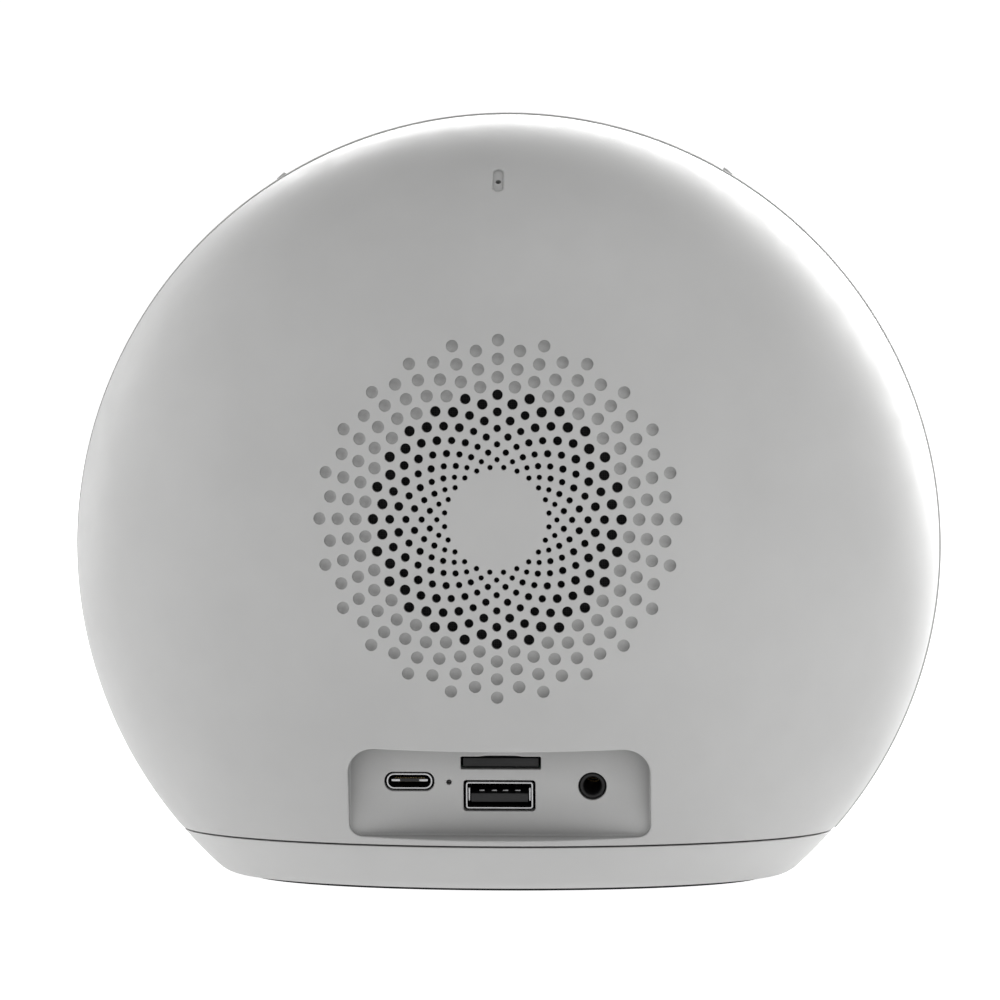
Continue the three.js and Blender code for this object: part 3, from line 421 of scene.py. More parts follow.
def mic_slot(skin, edge, twin_edge):
    """The slot from its edge on the dome to its floor, with the sound hole through the wall."""
    x, z = stadium(MIC_HALF_WIDTH, MIC_STRAIGHT)
    out = mic_outward(x, z)
    below = in_mic(x, z, -0.7 * MIC_DEPTH)
    loop = skin.turn_edge(edge, mic_edge(0), below, -out, 5)
    small = stadium(MIC_HALF_WIDTH - 0.25 * MIC_DEPTH, MIC_STRAIGHT)
    loop = skin.turn_edge(loop, in_mic(x, z, -MIC_DEPTH), in_mic(*small, -MIC_DEPTH), MIC_AXIS)
    start_x, start_z = circle(MIC_HOLE_RADIUS + HOLE_ROUNDING, len(x))
    hole_x, hole_z = circle(MIC_HOLE_RADIUS, len(x))
    start = skin.wall(loop, in_mic(start_x, start_z, -MIC_DEPTH), MIC_AXIS)
    out = unit(in_mic(hole_x, hole_z) - MIC_ORIGIN)
    ledge = in_mic(hole_x, hole_z, -MIC_DEPTH)
    end = skin.turn_edge(start, ledge, ledge - HOLE_ROUNDING * MIC_AXIS, -out)
    inner = onto_dome(in_mic(hole_x, hole_z), MIC_AXIS, WALL)
    end = skin.wall(end, inner, -out)
    skin.band(end, twin_edge)


# ---- the rear shell ----
def ring_radius_at(ring):
    return FIRST_RING_RADIUS + ring * FIRST_RING_PITCH + ring * (ring - 1) / 2 * PITCH_GROWTH


def pattern_places():
    """The ring number and the middle of each hole and dimple, each second ring turned by half a step."""
    for ring in range(HOLE_RINGS + DIMPLE_RINGS):
        shift = 0.5 if ring % 2 == 0 else 0
        for i in range(HOLES_PER_RING):
            angle = (i + shift) * 2 * math.pi / HOLES_PER_RING
            radius = ring_radius_at(ring)
            yield ring, (radius * math.sin(angle), PATTERN_RISE + radius * math.cos(angle))


def round_loops(radius, centre, inset=0):
    x, z = circle(radius, HOLE_SIDES, centre)
    return onto_dome(across(x, z), inset=inset)


def grille_hole(skin, edge, radius, centre):
    """A hole through the wall from its edge on the dome. Returns its inner end."""
    inward = -across(*circle(1, HOLE_SIDES))
    corner = round_loops(radius, centre)
    loop = skin.turn_edge(edge, corner, corner - (0, HOLE_ROUNDING, 0), inward, 2)
    return skin.wall(loop, round_loops(radius, centre, WALL), inward)


def dimple(skin, edge, centre):
    """A blind dish from its edge on the dome, with a steep side and a bowl. Returns its inner face's edge."""
    inward = -across(*circle(1, HOLE_SIDES))
    corner = round_loops(DIMPLE_RADIUS, centre)
    loop = skin.turn_edge(edge, corner, corner - (0, DIMPLE_ROUNDING, 0), inward, 2)
    loop = skin.wall(loop, corner - (0, DIMPLE_SIDE, 0), inward)
    for share in DIMPLE_BOWL:
        depth = DIMPLE_SIDE + (DIMPLE_DEPTH - DIMPLE_SIDE) * (1 - share**2)
        slope = 2 * share * (DIMPLE_DEPTH - DIMPLE_SIDE) / DIMPLE_RADIUS
        bowl = round_loops(share * DIMPLE_RADIUS, centre)
        loop = skin.wall(loop, bowl - (0, depth, 0), unit(dome_normals(bowl) + slope * inward))
    middle = across(*np.array(centre).reshape(2, 1))
    foot = onto_dome(middle)[0]
    skin.fan(loop, foot - (0, DIMPLE_DEPTH, 0), dome_normals(foot))
    back = skin.add(round_loops(DIMPLE_RADIUS, centre, WALL), (0, -1, 0))
    behind = onto_dome(middle, inset=WALL)[0]
    skin.fan(back, behind, -dome_normals(behind, WALL))
    return back


def grid_points(loops, clearances):
    """Points of the flattened dome on circles about its middle, inside the first loop and clear of all."""
    tree = kdtree.KDTree(sum(len(loop) for loop in loops))
    owner = []
    for number, loop in enumerate(loops):
        for x, z in loop:
            tree.insert((x, z, 0), len(owner))
            owner.append(number)
    tree.balance()
    points = [(0.0, 0.0)]
    for ring in range(1, int(DOME_RADIUS * math.pi / 2 / GRID_STEP) + 1):
        radius = ring * GRID_STEP
        points.extend(zip(*circle(radius, int(2 * math.pi * radius / GRID_STEP))))
    kept = []
    for point in points:
        _, nearest, distance = tree.find((*point, 0))
        if distance < clearances[owner[nearest]]:
            continue
        if inside(point, loops[0]) and not inside(point, loops[-1]) and not inside(point, loops[-2]):
            kept.append(point)
    return np.array(kept)


def unflattened(flat):
    """The points of the dome that flattened() maps to these."""
    length = np.hypot(*flat.T)
    angle = length / DOME_RADIUS
    share = DOME_RADIUS * np.sin(angle) / np.maximum(length, 1e-9)
    return np.column_stack((flat[:, 0] * share, DOME_DEPTH * np.cos(angle), flat[:, 1] * share))


def rear_shell():
    """The dome with its grille, dimples, microphone slot and port recess, as one wall of even thickness."""
    skin = Skin()
    loops, twins, clearances = [], [], []

    def opened(points, clearance):
        edge = skin.add(points, dome_normals(points))
        loops.append(edge)
        clearances.append(clearance)
        return edge

    start, _ = rim_loop(0, RIM_ROUNDING)
    corner, down = rim_loop(0, 0)
    end, _ = rim_loop(RIM_ROUNDING, 0)
    inner, _ = rim_loop(WALL, 0)
    edge = opened(start, 0.6 * GRID_STEP)
    loop = skin.turn_edge(edge, corner, end, down)
    twins.append(skin.wall(loop, inner, down))

    for ring, centre in pattern_places():
        if ring < HOLE_RINGS:
            radius = HOLE_DIAMETERS[ring // 2] / 2 * MM
            edge = opened(round_loops(radius + HOLE_ROUNDING, centre), 0.62 * GRID_STEP)
            twins.append(grille_hole(skin, edge, radius, centre))
        else:
            edge = opened(round_loops(DIMPLE_RADIUS + DIMPLE_ROUNDING, centre), 0.62 * GRID_STEP)
            twins.append(dimple(skin, edge, centre))

    edge = opened(mic_edge(MIC_ROUNDING), 0.6 * GRID_STEP)
    ring = onto_dome(in_mic(*stadium(MIC_HALF_WIDTH + MIC_ROUNDING, MIC_STRAIGHT)), MIC_AXIS, WALL)
    twins.append(skin.add(ring, -dome_normals(ring, WALL)))
    mic_slot(skin, edge, twins[-1])

    outline = recess_outline(RECESS_ROUNDING, 0.75 * RECESS_ROUNDING)
    edge = opened(onto_dome(in_port(*outline), PORT_AXIS), 1.4 * GRID_STEP)
    pocket = onto_dome(in_port(*recess_outline(RECESS_WALL, RECESS_LOW_WALL)), PORT_AXIS, WALL)
    twins.append(skin.add(pocket, -dome_normals(pocket, WALL)))
    recess(skin, edge, twins[-1])

    flat_loops = [flattened(skin.at(loop)) for loop in loops]
    within = grid_points(flat_loops, clearances)
    body = unflattened(within)
    numbers = sum(loops, []) + skin.add(body, dome_normals(body))
    inner_body = inner_twin(body)
    twin_numbers = sum(twins, []) + skin.add(inner_body, -dome_normals(inner_body, WALL))
    flat, flat_edges = [], []
    for loop in flat_loops:
        flat_edges.append(list(range(len(flat), len(flat) + len(loop))))
        flat.extend(loop.tolist())
    flat.extend(within.tolist())
    for a, b, c in triangles(flat, flat_edges):
        skin.faces.append((numbers[a], numbers[b], numbers[c]))
        skin.faces.append((twin_numbers[c], twin_numbers[b], twin_numbers[a]))
    return skin.made("rear_shell_moulding")


# ---- other shapes ----
SHARP_ANGLE = math.radians(34)


def finished(name, work, place=RING_CENTRE, matrix=None, sharp=SHARP_ANGLE):
    """The object of a bmesh, smooth apart from its sharp edges."""
    bmesh.ops.recalc_face_normals(work, faces=work.faces)
    mesh = bpy.data.meshes.new(name)
    work.to_mesh(mesh)
    work.free()
    mesh.transform(Matrix.Translation(place) @ (matrix or Matrix.Identity(4)))
    mesh.shade_smooth()
    mesh.set_sharp_from_angle(angle=sharp)
    return linked(name, mesh)


def lofted(name, loops, closed=False, place=RING_CENTRE, matrix=None, sharp=SHARP_ANGLE):
    """A skin over closed loops of as many points. It closes on itself, or its two ends are filled."""
    work = bmesh.new()
    rows = [[work.verts.new(p) for p in loop] for loop in loops]
    pairs = list(zip(rows, rows[1:]))
    if closed:
        pairs.append((rows[-1], rows[0]))
    else:
        work.faces.new(rows[0])
        work.faces.new(rows[-1])
    for one, other in pairs:
        for i in range(len(one)):
            j = (i + 1) % len(one)
            work.faces.new((one[i], one[j], other[j], other[i]))
    return finished(name, work, place, matrix, sharp)


def block(name, low, high, rounding, place=RING_CENTRE, matrix=None, segments=3):
    """A box between two corners with its edges rounded."""
    work = bmesh.new()
    bmesh.ops.create_cube(work, size=1)
    low, high = np.array(low), np.array(high)
    for vert in work.verts:
        vert.co = Vector((low + high) / 2 + np.array(vert.co) * (high - low))
    bmesh.ops.bevel(work, geom=work.edges, offset=rounding, segments=segments, profile=0.5, affect="EDGES")
    return finished(name, work, place, matrix)


def joined(name, pieces):
    """Several objects as one."""
    work = bmesh.new()
    for piece in pieces:
        work.from_mesh(piece.data)
        bpy.data.objects.remove(piece)
    return finished(name, work, Vector((0, 0, 0)))


def carved(obj, cutters, operation="DIFFERENCE"):
    """Cuts closed pieces out of an object and removes them."""
    for cutter in cutters:
        modifier = obj.modifiers.new("cut", "BOOLEAN")
        modifier.operation = operation
        modifier.object = cutter
    depsgraph = bpy.context.evaluated_depsgraph_get()
    mesh = bpy.data.meshes.new_from_object(obj.evaluated_get(depsgraph))
    obj.modifiers.clear()
    obj.data = mesh
    for cutter in cutters:
        bpy.data.objects.remove(cutter)
    obj.data.shade_smooth()
    obj.data.set_sharp_from_angle(angle=SHARP_ANGLE)
    return obj


def quarter(steps=4):
    """Shares of a rounded edge, from the first face to the second."""
    turn = np.linspace(0, math.pi / 2, steps + 1)
    return list(zip(1 - np.sin(turn), 1 - np.cos(turn)))


# ---- bezel ring and cover glass ----
RING_ROUNDING = 1.8 * MM
RING_BACK = -0.3 * MM
RING_BACK_ROUNDING = 0.35 * MM
SEAT_RADIUS = 82.2 * MM
SEAT_LEVEL = SEAM + 2.6 * MM
SEAT_ROUNDING = 0.25 * MM
LIP_RADIUS = 74.4 * MM
LIP_LEVEL = SEAM + 5.4 * MM
LIP_FRONT = -9.7 * MM
LIP_BACK = -8.2 * MM
INSIDE_RADIUS = 83.3 * MM
INSIDE_LEVEL = SEAM + 1.6 * MM
RING_WALL_BACK = -0.9 * MM
TONGUE_RADIUS = 82.8 * MM
TONGUE_LEVEL = SEAM + 0.6 * MM
TONGUE_THICKNESS = 1 * MM
TONGUE_END = 2.8 * MM

KEY_ANGLE = math.radians(31)
KEY_HALF_WIDTH = 1.1 * MM
KEY_GAP = 0.3 * MM
KEY_FRONT = -7.4 * MM
KEY_BACK = -1.6 * MM
KEY_FLANGE = 82.7 * MM
KEY_PROUD = 0.55 * MM
KEY_LOW_PROUD = 0.2 * MM
KEY_CREST = 0.7  # where a key stands highest, as a share of its half width
KEY_SHOULDER = 0.85  # how high its side rises, as a share of its crest
KEY_ROUNDING = 0.16 * MM
FLANGE_BELOW = 0.7 * MM
FLANGE_ABOVE = 0.3 * MM
FLANGE_ROUNDING = 0.15 * MM
SLOT_ROUNDING = 0.4 * MM
SLOT_REACH = 2 * MM


def cut_circle(radius, level, y, arc_steps=280, line_steps=60):
    """A circle about the ring's centre with its foot cut off level, at a distance from the ring plane."""
    start = math.asin(level / radius)
    arc = np.linspace(start, math.pi - start, arc_steps)
    half = radius * math.cos(start)
    line = np.linspace(-half, half, line_steps)[1:-1]
    x = np.concatenate((radius * np.cos(arc), line))
    z = np.concatenate((radius * np.sin(arc), np.full_like(line, level)))
    return np.column_stack((x, np.full_like(x, y), z))


def bezel_ring():
    """The ring round the glass, from its back edge along its inside to the glass's seat and its front."""
    back = [(RING_BACK_ROUNDING * b, RING_BACK_ROUNDING * a) for a, b in quarter(3)]
    seat = [(SEAT_ROUNDING * b, SEAT_ROUNDING * a) for a, b in quarter(3)]
    front = [(RING_ROUNDING * b, RING_ROUNDING * a) for a, b in reversed(quarter(6))]
    profile = [
        *[(RING_RADIUS - inwards, SEAM, RING_BACK - along) for inwards, along in back],
        (TONGUE_RADIUS, TONGUE_LEVEL, RING_BACK),
        (TONGUE_RADIUS, TONGUE_LEVEL, TONGUE_END),
        (TONGUE_RADIUS - TONGUE_THICKNESS, TONGUE_LEVEL + TONGUE_THICKNESS, TONGUE_END),
        (TONGUE_RADIUS - TONGUE_THICKNESS, TONGUE_LEVEL + TONGUE_THICKNESS, RING_WALL_BACK),
        (INSIDE_RADIUS, INSIDE_LEVEL, RING_WALL_BACK),
        (INSIDE_RADIUS, INSIDE_LEVEL, LIP_BACK),
        (LIP_RADIUS, LIP_LEVEL, LIP_BACK),
        (LIP_RADIUS, LIP_LEVEL, LIP_FRONT),
        (SEAT_RADIUS, SEAT_LEVEL, LIP_FRONT),
        *[(SEAT_RADIUS + out, SEAT_LEVEL - out, RING_FRONT + along) for out, along in seat],
        *[(RING_RADIUS - inwards, SEAM + inwards / 3, RING_FRONT + along) for inwards, along in front],
    ]
    ring = lofted("bezel_ring", [cut_circle(*place) for place in profile], closed=True)
    low = (-KEY_HALF_WIDTH - KEY_GAP, KEY_FRONT - KEY_GAP, INSIDE_RADIUS - SLOT_REACH)
    high = (KEY_HALF_WIDTH + KEY_GAP, KEY_BACK + KEY_GAP, RING_RADIUS + SLOT_REACH)
    return carved(ring, [block("slot", low, high, SLOT_ROUNDING, matrix=key_turn(side)) for side in (1, -1)])


def key_turn(side):
    """From the top of the ring to a key's place: +1 is volume up, -1 is volume down."""
    return Matrix.Rotation(side * KEY_ANGLE + CONTROL_TURN, 4, "Y")


def prism(name, outline, y0, y1, rounding, matrix):
    """An outline in X and Z, drawn out along Y, with its edges rounded."""
    work = bmesh.new()
    rows = [[work.verts.new((x, y, z)) for x, z in outline] for y in (y0, y1)]
    for row in rows:
        work.faces.new(row)
    for i in range(len(outline)):
        j = (i + 1) % len(outline)
        work.faces.new((rows[0][i], rows[0][j], rows[1][j], rows[1][i]))
    bmesh.ops.recalc_face_normals(work, faces=work.faces)
    bmesh.ops.bevel(work, geom=work.edges, offset=rounding, segments=3, profile=0.5, affect="EDGES")
    return finished(name, work, matrix=matrix)


def volume_key(name, side):
    """A key with its high end towards the top of the ring, and the flange that keeps it in."""
    half = KEY_HALF_WIDTH
    outline = [
        (-half, KEY_FLANGE),
        (-half, RING_RADIUS + KEY_SHOULDER * KEY_PROUD),
        (-KEY_CREST * half, RING_RADIUS + KEY_PROUD),
        (half, RING_RADIUS + KEY_LOW_PROUD),
        (half, KEY_FLANGE),
    ]
    outline = [(x * side, z) for x, z in outline]
    key = prism(name, outline, KEY_FRONT, KEY_BACK, KEY_ROUNDING, key_turn(side))
    low = (-2 * half, KEY_FRONT, KEY_FLANGE - FLANGE_BELOW)
    high = (2 * half, KEY_BACK, KEY_FLANGE + FLANGE_ABOVE)
    flange = block("flange", low, high, FLANGE_ROUNDING, matrix=key_turn(side))
    return carved(key, [flange], "UNION")


GLASS_FRONT = RING_FRONT + 0.3 * MM
GLASS_BACK = GLASS_FRONT + 1.8 * MM
GLASS_BEVEL = 0.45 * MM


def cover_glass():
    """The flat glass in the ring's seat, both its edges bevelled round."""
    radius, level = SEAT_RADIUS - KEY_GAP, SEAT_LEVEL + KEY_GAP
    edge = [(GLASS_BEVEL * b, GLASS_BEVEL * a) for a, b in quarter(4)]
    front = [cut_circle(radius - inwards, level + inwards, GLASS_FRONT + along) for inwards, along in edge]
    back = [cut_circle(radius - inwards, level + inwards, GLASS_BACK - along) for inwards, along in edge]
    return lofted("cover_glass", [*back[::-1], *front])


# ---- base ----
skirt_low, skirt_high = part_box("base_skirt")
BASE_PLACE = Vector((0, RING_CENTRE.y, 0))
BASE_BOTTOM = skirt_low.z
BASE_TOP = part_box("ballast")[0].z + 0.7 * MM
BASE_ROUNDING = 1.5 * MM
BASE_TOP_ROUNDING = 0.25 * MM
BASE_CORNER = 1.8 * MM
BASE_WALL = 2.4 * MM
SHELF_TOP = BASE_TOP - 1 * MM
SHELF_BOTTOM = BASE_TOP - 2.4 * MM
LEDGE_WIDTH = 2 * MM
LEDGE_HEIGHT = BASE_BOTTOM + 2.9 * MM


def base_outline(height, inset, corner_steps=6, rear_steps=160):
    """The base's outline at a height, drawn in: half an ellipse at the rear, and a straight front."""
    half_width = math.sqrt(DOME_RADIUS**2 - (RING_CENTRE.z - height) ** 2)
    half_depth = half_width * DOME_DEPTH / DOME_RADIUS - inset
    half_width -= inset
    front = RING_FRONT + inset
    radius = max(BASE_CORNER - inset, 0.3 * MM)
    rear = np.linspace(0, math.pi, rear_steps + 1)
    turn = np.linspace(math.pi, 1.5 * math.pi, corner_steps + 1)
    left_x, left_y = -half_width + radius + radius * np.cos(turn), front + radius + radius * np.sin(turn)
    x = np.concatenate((half_width * np.cos(rear), left_x, -left_x[::-1]))
    y = np.concatenate((half_depth * np.sin(rear), left_y, left_y[::-1]))
    return np.column_stack((x, y, np.full_like(x, height)))


def base_skirt():
    """The base's wall with its rounded foot and rim, the ledge round its inside, and its top."""
    foot = [(BASE_ROUNDING * b, BASE_ROUNDING * a) for b, a in quarter(6)]
    rim = [(BASE_TOP_ROUNDING * b, BASE_TOP_ROUNDING * a) for a, b in quarter(3)]
    middle = np.linspace(BASE_BOTTOM + BASE_ROUNDING, BASE_TOP - BASE_TOP_ROUNDING, 5)
    loops = [
        base_outline(SHELF_BOTTOM, BASE_WALL + LEDGE_WIDTH),
        base_outline(LEDGE_HEIGHT, BASE_WALL + LEDGE_WIDTH),
        base_outline(LEDGE_HEIGHT, BASE_WALL),
        base_outline(BASE_BOTTOM, BASE_WALL),
        *[base_outline(BASE_BOTTOM + rise, inset) for inset, rise in foot],
        *[base_outline(height, 0) for height in middle[1:-1]],
        *[base_outline(BASE_TOP - fall, inset) for inset, fall in rim],
        base_outline(BASE_TOP, BASE_WALL),
        base_outline(SHELF_TOP, BASE_WALL + 0.4 * MM),
    ]
    return lofted("base_moulding", loops, place=BASE_PLACE)


# ---- ports ----
PORT_MATRIX = Matrix.Translation(PORT_ORIGIN) @ Matrix.Rotation(-PORT_TILT, 4, "X")


def in_port_plane(outline, y):
    x, z = outline
    return np.column_stack((x, np.full_like(x, y), z))


def port_outline(middle, half_width, half_height, radius):
    """An outline in the port's plane that can grow, its sizes in millimetres."""
    def grown(grow):
        low = ((middle[0] - half_width) * MM - grow, (middle[1] - half_height) * MM - grow)
        high = ((middle[0] + half_width) * MM + grow, (middle[1] + half_height) * MM + grow)
        return rounded_rectangle(low, high, max(radius * MM + grow, 0.02 * MM), per_corner=7, along=(16, 4))
    return grown


# Each thin shell in an opening, in millimetres: half width, half height and corner radius of its outside and
# of its inside, its back and its front as measured from the recess floor, and the rounding of its lip.
SLEEVES = {
    "usb_c_sleeve": ("usb_c", (4.47, 1.58, 1.45), (4.17, 1.28, 1.2), (-7.7, -0.3), 0.12),
    "usb_c_lining": ("usb_c", (4.14, 1.25, 1.18), (4.06, 1.17, 1.1), (-7.3, -0.8), 0.03),
    "usb_a_sleeve": ("usb_a", (6.55, 2.7, 0.55), (6.25, 2.4, 0.3), (-14.3, -0.3), 0.12),
    "usb_a_lining": ("usb_a", (6.22, 2.37, 0.28), (6.14, 2.29, 0.2), (-13.9, -0.8), 0.03),
    "card_frame": ("card", (7.4, 0.85, 0.3), (6.9, 0.5, 0.12), (-13.3, -0.8), 0.1),
}
SLEEVE_WALL = 0.35 * MM
SLEEVE_SHARP = math.radians(50)


def sleeve(name):
    """A shell of SLEEVES, closed at the back and open at the front with a rolled lip."""
    opening, outer_size, inner_size, ends, rounding = SLEEVES[name]
    outer, inner = (port_outline(OPENINGS[opening][0], *size) for size in (outer_size, inner_size))
    back, front = (end * MM for end in ends)
    rounding *= MM
    lip = [(rounding * b, rounding * a) for a, b in quarter(3)]
    loops = [
        in_port_plane(outer(0), back),
        *[in_port_plane(outer(-inwards), front - along) for inwards, along in lip],
        *[in_port_plane(inner(-inwards + rounding), front - along) for inwards, along in lip[::-1]],
        in_port_plane(inner(0), back + SLEEVE_WALL),
    ]
    return lofted(name, loops, matrix=PORT_MATRIX, sharp=SLEEVE_SHARP)


# Equal boxes in an opening, in millimetres: their places across it, half a box's width, its back and front as
# measured from the recess floor, its lower and upper sides at each height, and the rounding of its edges.
USB_C_PITCH = 0.5
USB_C_PADS = np.arange(-2.75, 3, USB_C_PITCH)
BOXES = {
    "usb_c_blade": ("usb_c", (0,), 3.35, (-7.2, -1.1), ((-0.35, 0.35),), 0.12),
    "usb_c_latches": ("usb_c", (-2.7, 2.7), 0.85, (-6, -0.95), ((-0.24, 0.24),), 0.1),
    "usb_c_contacts": ("usb_c", USB_C_PADS, 0.16, (-5.5, -1.3), ((-0.39, -0.33), (0.33, 0.39)), 0.02),
    "usb_c_springs": ("usb_c", (-2.25, -0.75, 0.75, 2.25), 0.3, (-4.4, -2.4), ((0.9, 1.12),), 0.08),
    "usb_a_blade": ("usb_a", (0,), 5.6, (-13.9, -1.2), ((-1.6, 0.2),), 0.15),
    "usb_a_contacts": ("usb_a", (-3.5, -1.1, 1.1, 3.5), 0.55, (-7.4, -2.6), ((0.2, 0.5),), 0.1),
    "usb_a_clips": ("usb_a", (-5.95, 5.95), 0.22, (-8, -1), ((-1.3, 1.4),), 0.15),
    "card_cover": ("card", (0,), 7.35, (-0.85, -0.5), ((-0.85, 0.85),), 0.12),
}


def boxes(name):
    """The boxes of a row of BOXES as one object."""
    opening, places, half_width, ends, heights, rounding = BOXES[name]
    (x, z), _, _ = OPENINGS[opening]
    made = []
    for place in places:
        for bottom, top in heights:
            low = ((x + place - half_width) * MM, ends[0] * MM, (z + bottom) * MM)
            high = ((x + place + half_width) * MM, ends[1] * MM, (z + top) * MM)
            made.append(block("box", low, high, rounding * MM, matrix=PORT_MATRIX, segments=2))
    return joined(name, made)


# In millimetres: the collar's profile as radius and place along the axis, from the middle of its back, round
# its lip and down its bore, and each contact's outer and inner radius, its back and its front.
JACK_COLLAR = (
    (0.2, -14.1), (2.5, -14.1), (2.5, -0.6), (2.44, -0.44), (2.3, -0.35), (2.05, -0.36), (1.9, -0.45),
    (1.8, -0.65), (1.75, -0.9), (1.75, -13.1), (0.2, -13.1),
)
JACK_CONTACTS = ((1.78, 1.68, -10.6, -10), (1.78, 1.68, -12.8, -12.2))
JACK_SIDES = 64


def jack_ring(radius, y):
    x, z = OPENINGS["jack"][0]
    return in_port_plane(circle(radius * MM, JACK_SIDES, (x * MM, z * MM)), y * MM)


def jack_collar():
    return lofted("jack_collar", [jack_ring(*place) for place in JACK_COLLAR], matrix=PORT_MATRIX)


def jack_contacts():
    """The ring contacts inside the bore."""
    bands = []
    for outer, inner, back, front in JACK_CONTACTS:
        corners = ((outer, back), (inner, back), (inner, front), (outer, front))
        loops = [jack_ring(*corner) for corner in corners]
        bands.append(lofted("band", loops, closed=True, matrix=PORT_MATRIX))
    return joined("jack_contacts", bands)


# ---- screws ----
SHANK_RADIUS = 0.9 * MM
THREAD_DEPTH = 0.22 * MM
THREAD_PITCH = 0.8 * MM
HEAD_ROUNDING = 0.5 * MM
CROSS_WIDTH = 0.5 * MM
CROSS_LENGTH = 2.3 * MM
CROSS_DEPTH = 0.7 * MM
CROSS_ROUNDING = 0.05 * MM
BASE_HEAD_HEIGHT = 1 * MM
SPEAKER_HEAD_HEIGHT = 1.4 * MM
SCREW_SIDES = 40


def cross_head_screw(name, node, head_height, matrix=Matrix.Identity(4)):
    """A pan-head screw where its CAD node is. Its head is at the low end of the matrix's Z axis."""
    low, high = (matrix.inverted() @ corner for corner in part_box(node))
    low, high = Vector(map(min, low, high)), Vector(map(max, low, high))
    radius, length = (high.x - low.x) / 2, high.z - low.z
    profile = [(radius - HEAD_ROUNDING * a, HEAD_ROUNDING * b) for a, b in quarter(5)]
    profile += [(radius, head_height), (SHANK_RADIUS, head_height)]
    for height in np.arange(head_height + THREAD_PITCH, length - THREAD_PITCH, THREAD_PITCH):
        profile += [(SHANK_RADIUS, height), (SHANK_RADIUS - THREAD_DEPTH, height + THREAD_PITCH / 2)]
    profile += [(SHANK_RADIUS - THREAD_DEPTH, length - THREAD_PITCH / 2), (SHANK_RADIUS / 2, length)]
    loops = [[(x, y, height) for x, y in zip(*circle(r, SCREW_SIDES))] for r, height in profile]
    place = Vector(((low.x + high.x) / 2, (low.y + high.y) / 2, low.z))
    body = lofted(name, loops, place=(0, 0, 0), matrix=matrix @ Matrix.Translation(place))
    slots = []
    for w, h in ((CROSS_WIDTH, CROSS_LENGTH), (CROSS_LENGTH, CROSS_WIDTH)):
        ends = (-w / 2, -h / 2, -CROSS_DEPTH), (w / 2, h / 2, CROSS_DEPTH)
        slots.append(block("slot", *ends, CROSS_ROUNDING, (0, 0, 0), matrix @ Matrix.Translation(place)))
    return carved(body, slots)


# ---- materials ----
SPREAD_FROM, SPREAD_TO = 0.3, 0.7  # the middle range of a noise pattern
# The painted shade in hollows is darkest below this share of open space.
SHADE_DARKEST_BELOW = 0.35  # the share of open space below which a hollow is darkest
DISPLAY_RADIUS = 49.3 * MM
DISPLAY_EDGE = 0.3 * MM


class Finish:
    """A node material whose patterns are laid out in metres about the model's origin."""

    def __init__(self, name, colour, roughness, metallic=0.0, **sockets):
        self.material = bpy.data.materials.new(name)
        self.material.use_nodes = True
        self.tree = self.material.node_tree
        self.shader = self.tree.nodes["Principled BSDF"]
        self.place = self.node("TexCoord").outputs["Object"]
        self.colour, self.roughness = colour, roughness
        self.shader.inputs["Base Color"].default_value = (*colour, 1)
        self.shader.inputs["Roughness"].default_value = roughness
        self.shader.inputs["Metallic"].default_value = metallic
        for socket, value in sockets.items():
            self.shader.inputs[socket.replace("_", " ")].default_value = value

    def node(self, kind, **inputs):
        made = self.tree.nodes.new("ShaderNode" + kind)
        for name, value in inputs.items():
            socket = made.inputs[name.replace("_", " ")]
            if isinstance(value, bpy.types.NodeSocket):
                self.tree.links.new(value, socket)
            else:
                socket.default_value = value
        return made

    def link(self, output, name):
        self.tree.links.new(output, self.shader.inputs[name])

    def stretched(self, stretch):
        """The place with each axis stretched, for brushed or wound patterns."""
        return self.node("Mapping", Vector=self.place, Scale=stretch).outputs["Vector"]

    def noise(self, size, detail=2.0, place=None):
        scale = 1 / size
        made = self.node("TexNoise", Vector=place or self.place, Scale=scale, Detail=detail, Roughness=0.55)
        return made.outputs["Fac"]

    def mapped(self, value, start, end, low, high):
        """A value from start to end, mapped to low to high."""
        made = self.node("MapRange", Value=value, From_Min=start, From_Max=end, To_Min=low, To_Max=high)
        return made.outputs["Result"]

    def spread(self, fac, low, high):
        """A pattern's middle range spread from low to high."""
        return self.mapped(fac, SPREAD_FROM, SPREAD_TO, low, high)

    def mottle(self, fac, dark, light):
        """The colour, a little darker and a little lighter from place to place."""
        made = self.node("Mix", Factor=self.spread(fac, 0, 1))
        made.data_type = "RGBA"
        ends = [s for s in made.inputs if s.type == "RGBA"]
        ends[0].default_value = (*(c * dark for c in self.colour), 1)
        ends[1].default_value = (*(min(c * light, 1) for c in self.colour), 1)
        self.link([s for s in made.outputs if s.type == "RGBA"][0], "Base Color")

    def painted_hollow_shade(self, reach, least):
        """Paints shade into the colour where something stands close by, darkest in hollows, recesses and
        corners.
        """
        base = self.shader.inputs["Base Color"]
        hollow = self.node("AmbientOcclusion", Distance=reach)
        hollow.samples = 6
        share = self.mapped(hollow.outputs["AO"], SHADE_DARKEST_BELOW, 1, least, 1)
        made = self.node("VectorMath")
        made.operation = "SCALE"
        self.tree.links.new(base.links[0].from_socket, made.inputs[0])
        self.tree.links.new(share, made.inputs["Scale"])
        self.tree.links.new(made.outputs["Vector"], base)

    def rough(self, fac, change):
        self.link(self.spread(fac, self.roughness - change, self.roughness + change), "Roughness")

    def relief(self, height, depth, under=None):
        """A bump of a depth in metres, over another if one is given."""
        bump = self.node("Bump", Height=height, Distance=depth, Strength=1.0)
        if under is not None:
            self.tree.links.new(under, bump.inputs["Normal"])
        self.link(bump.outputs["Normal"], "Normal")
        return bump.outputs["Normal"]


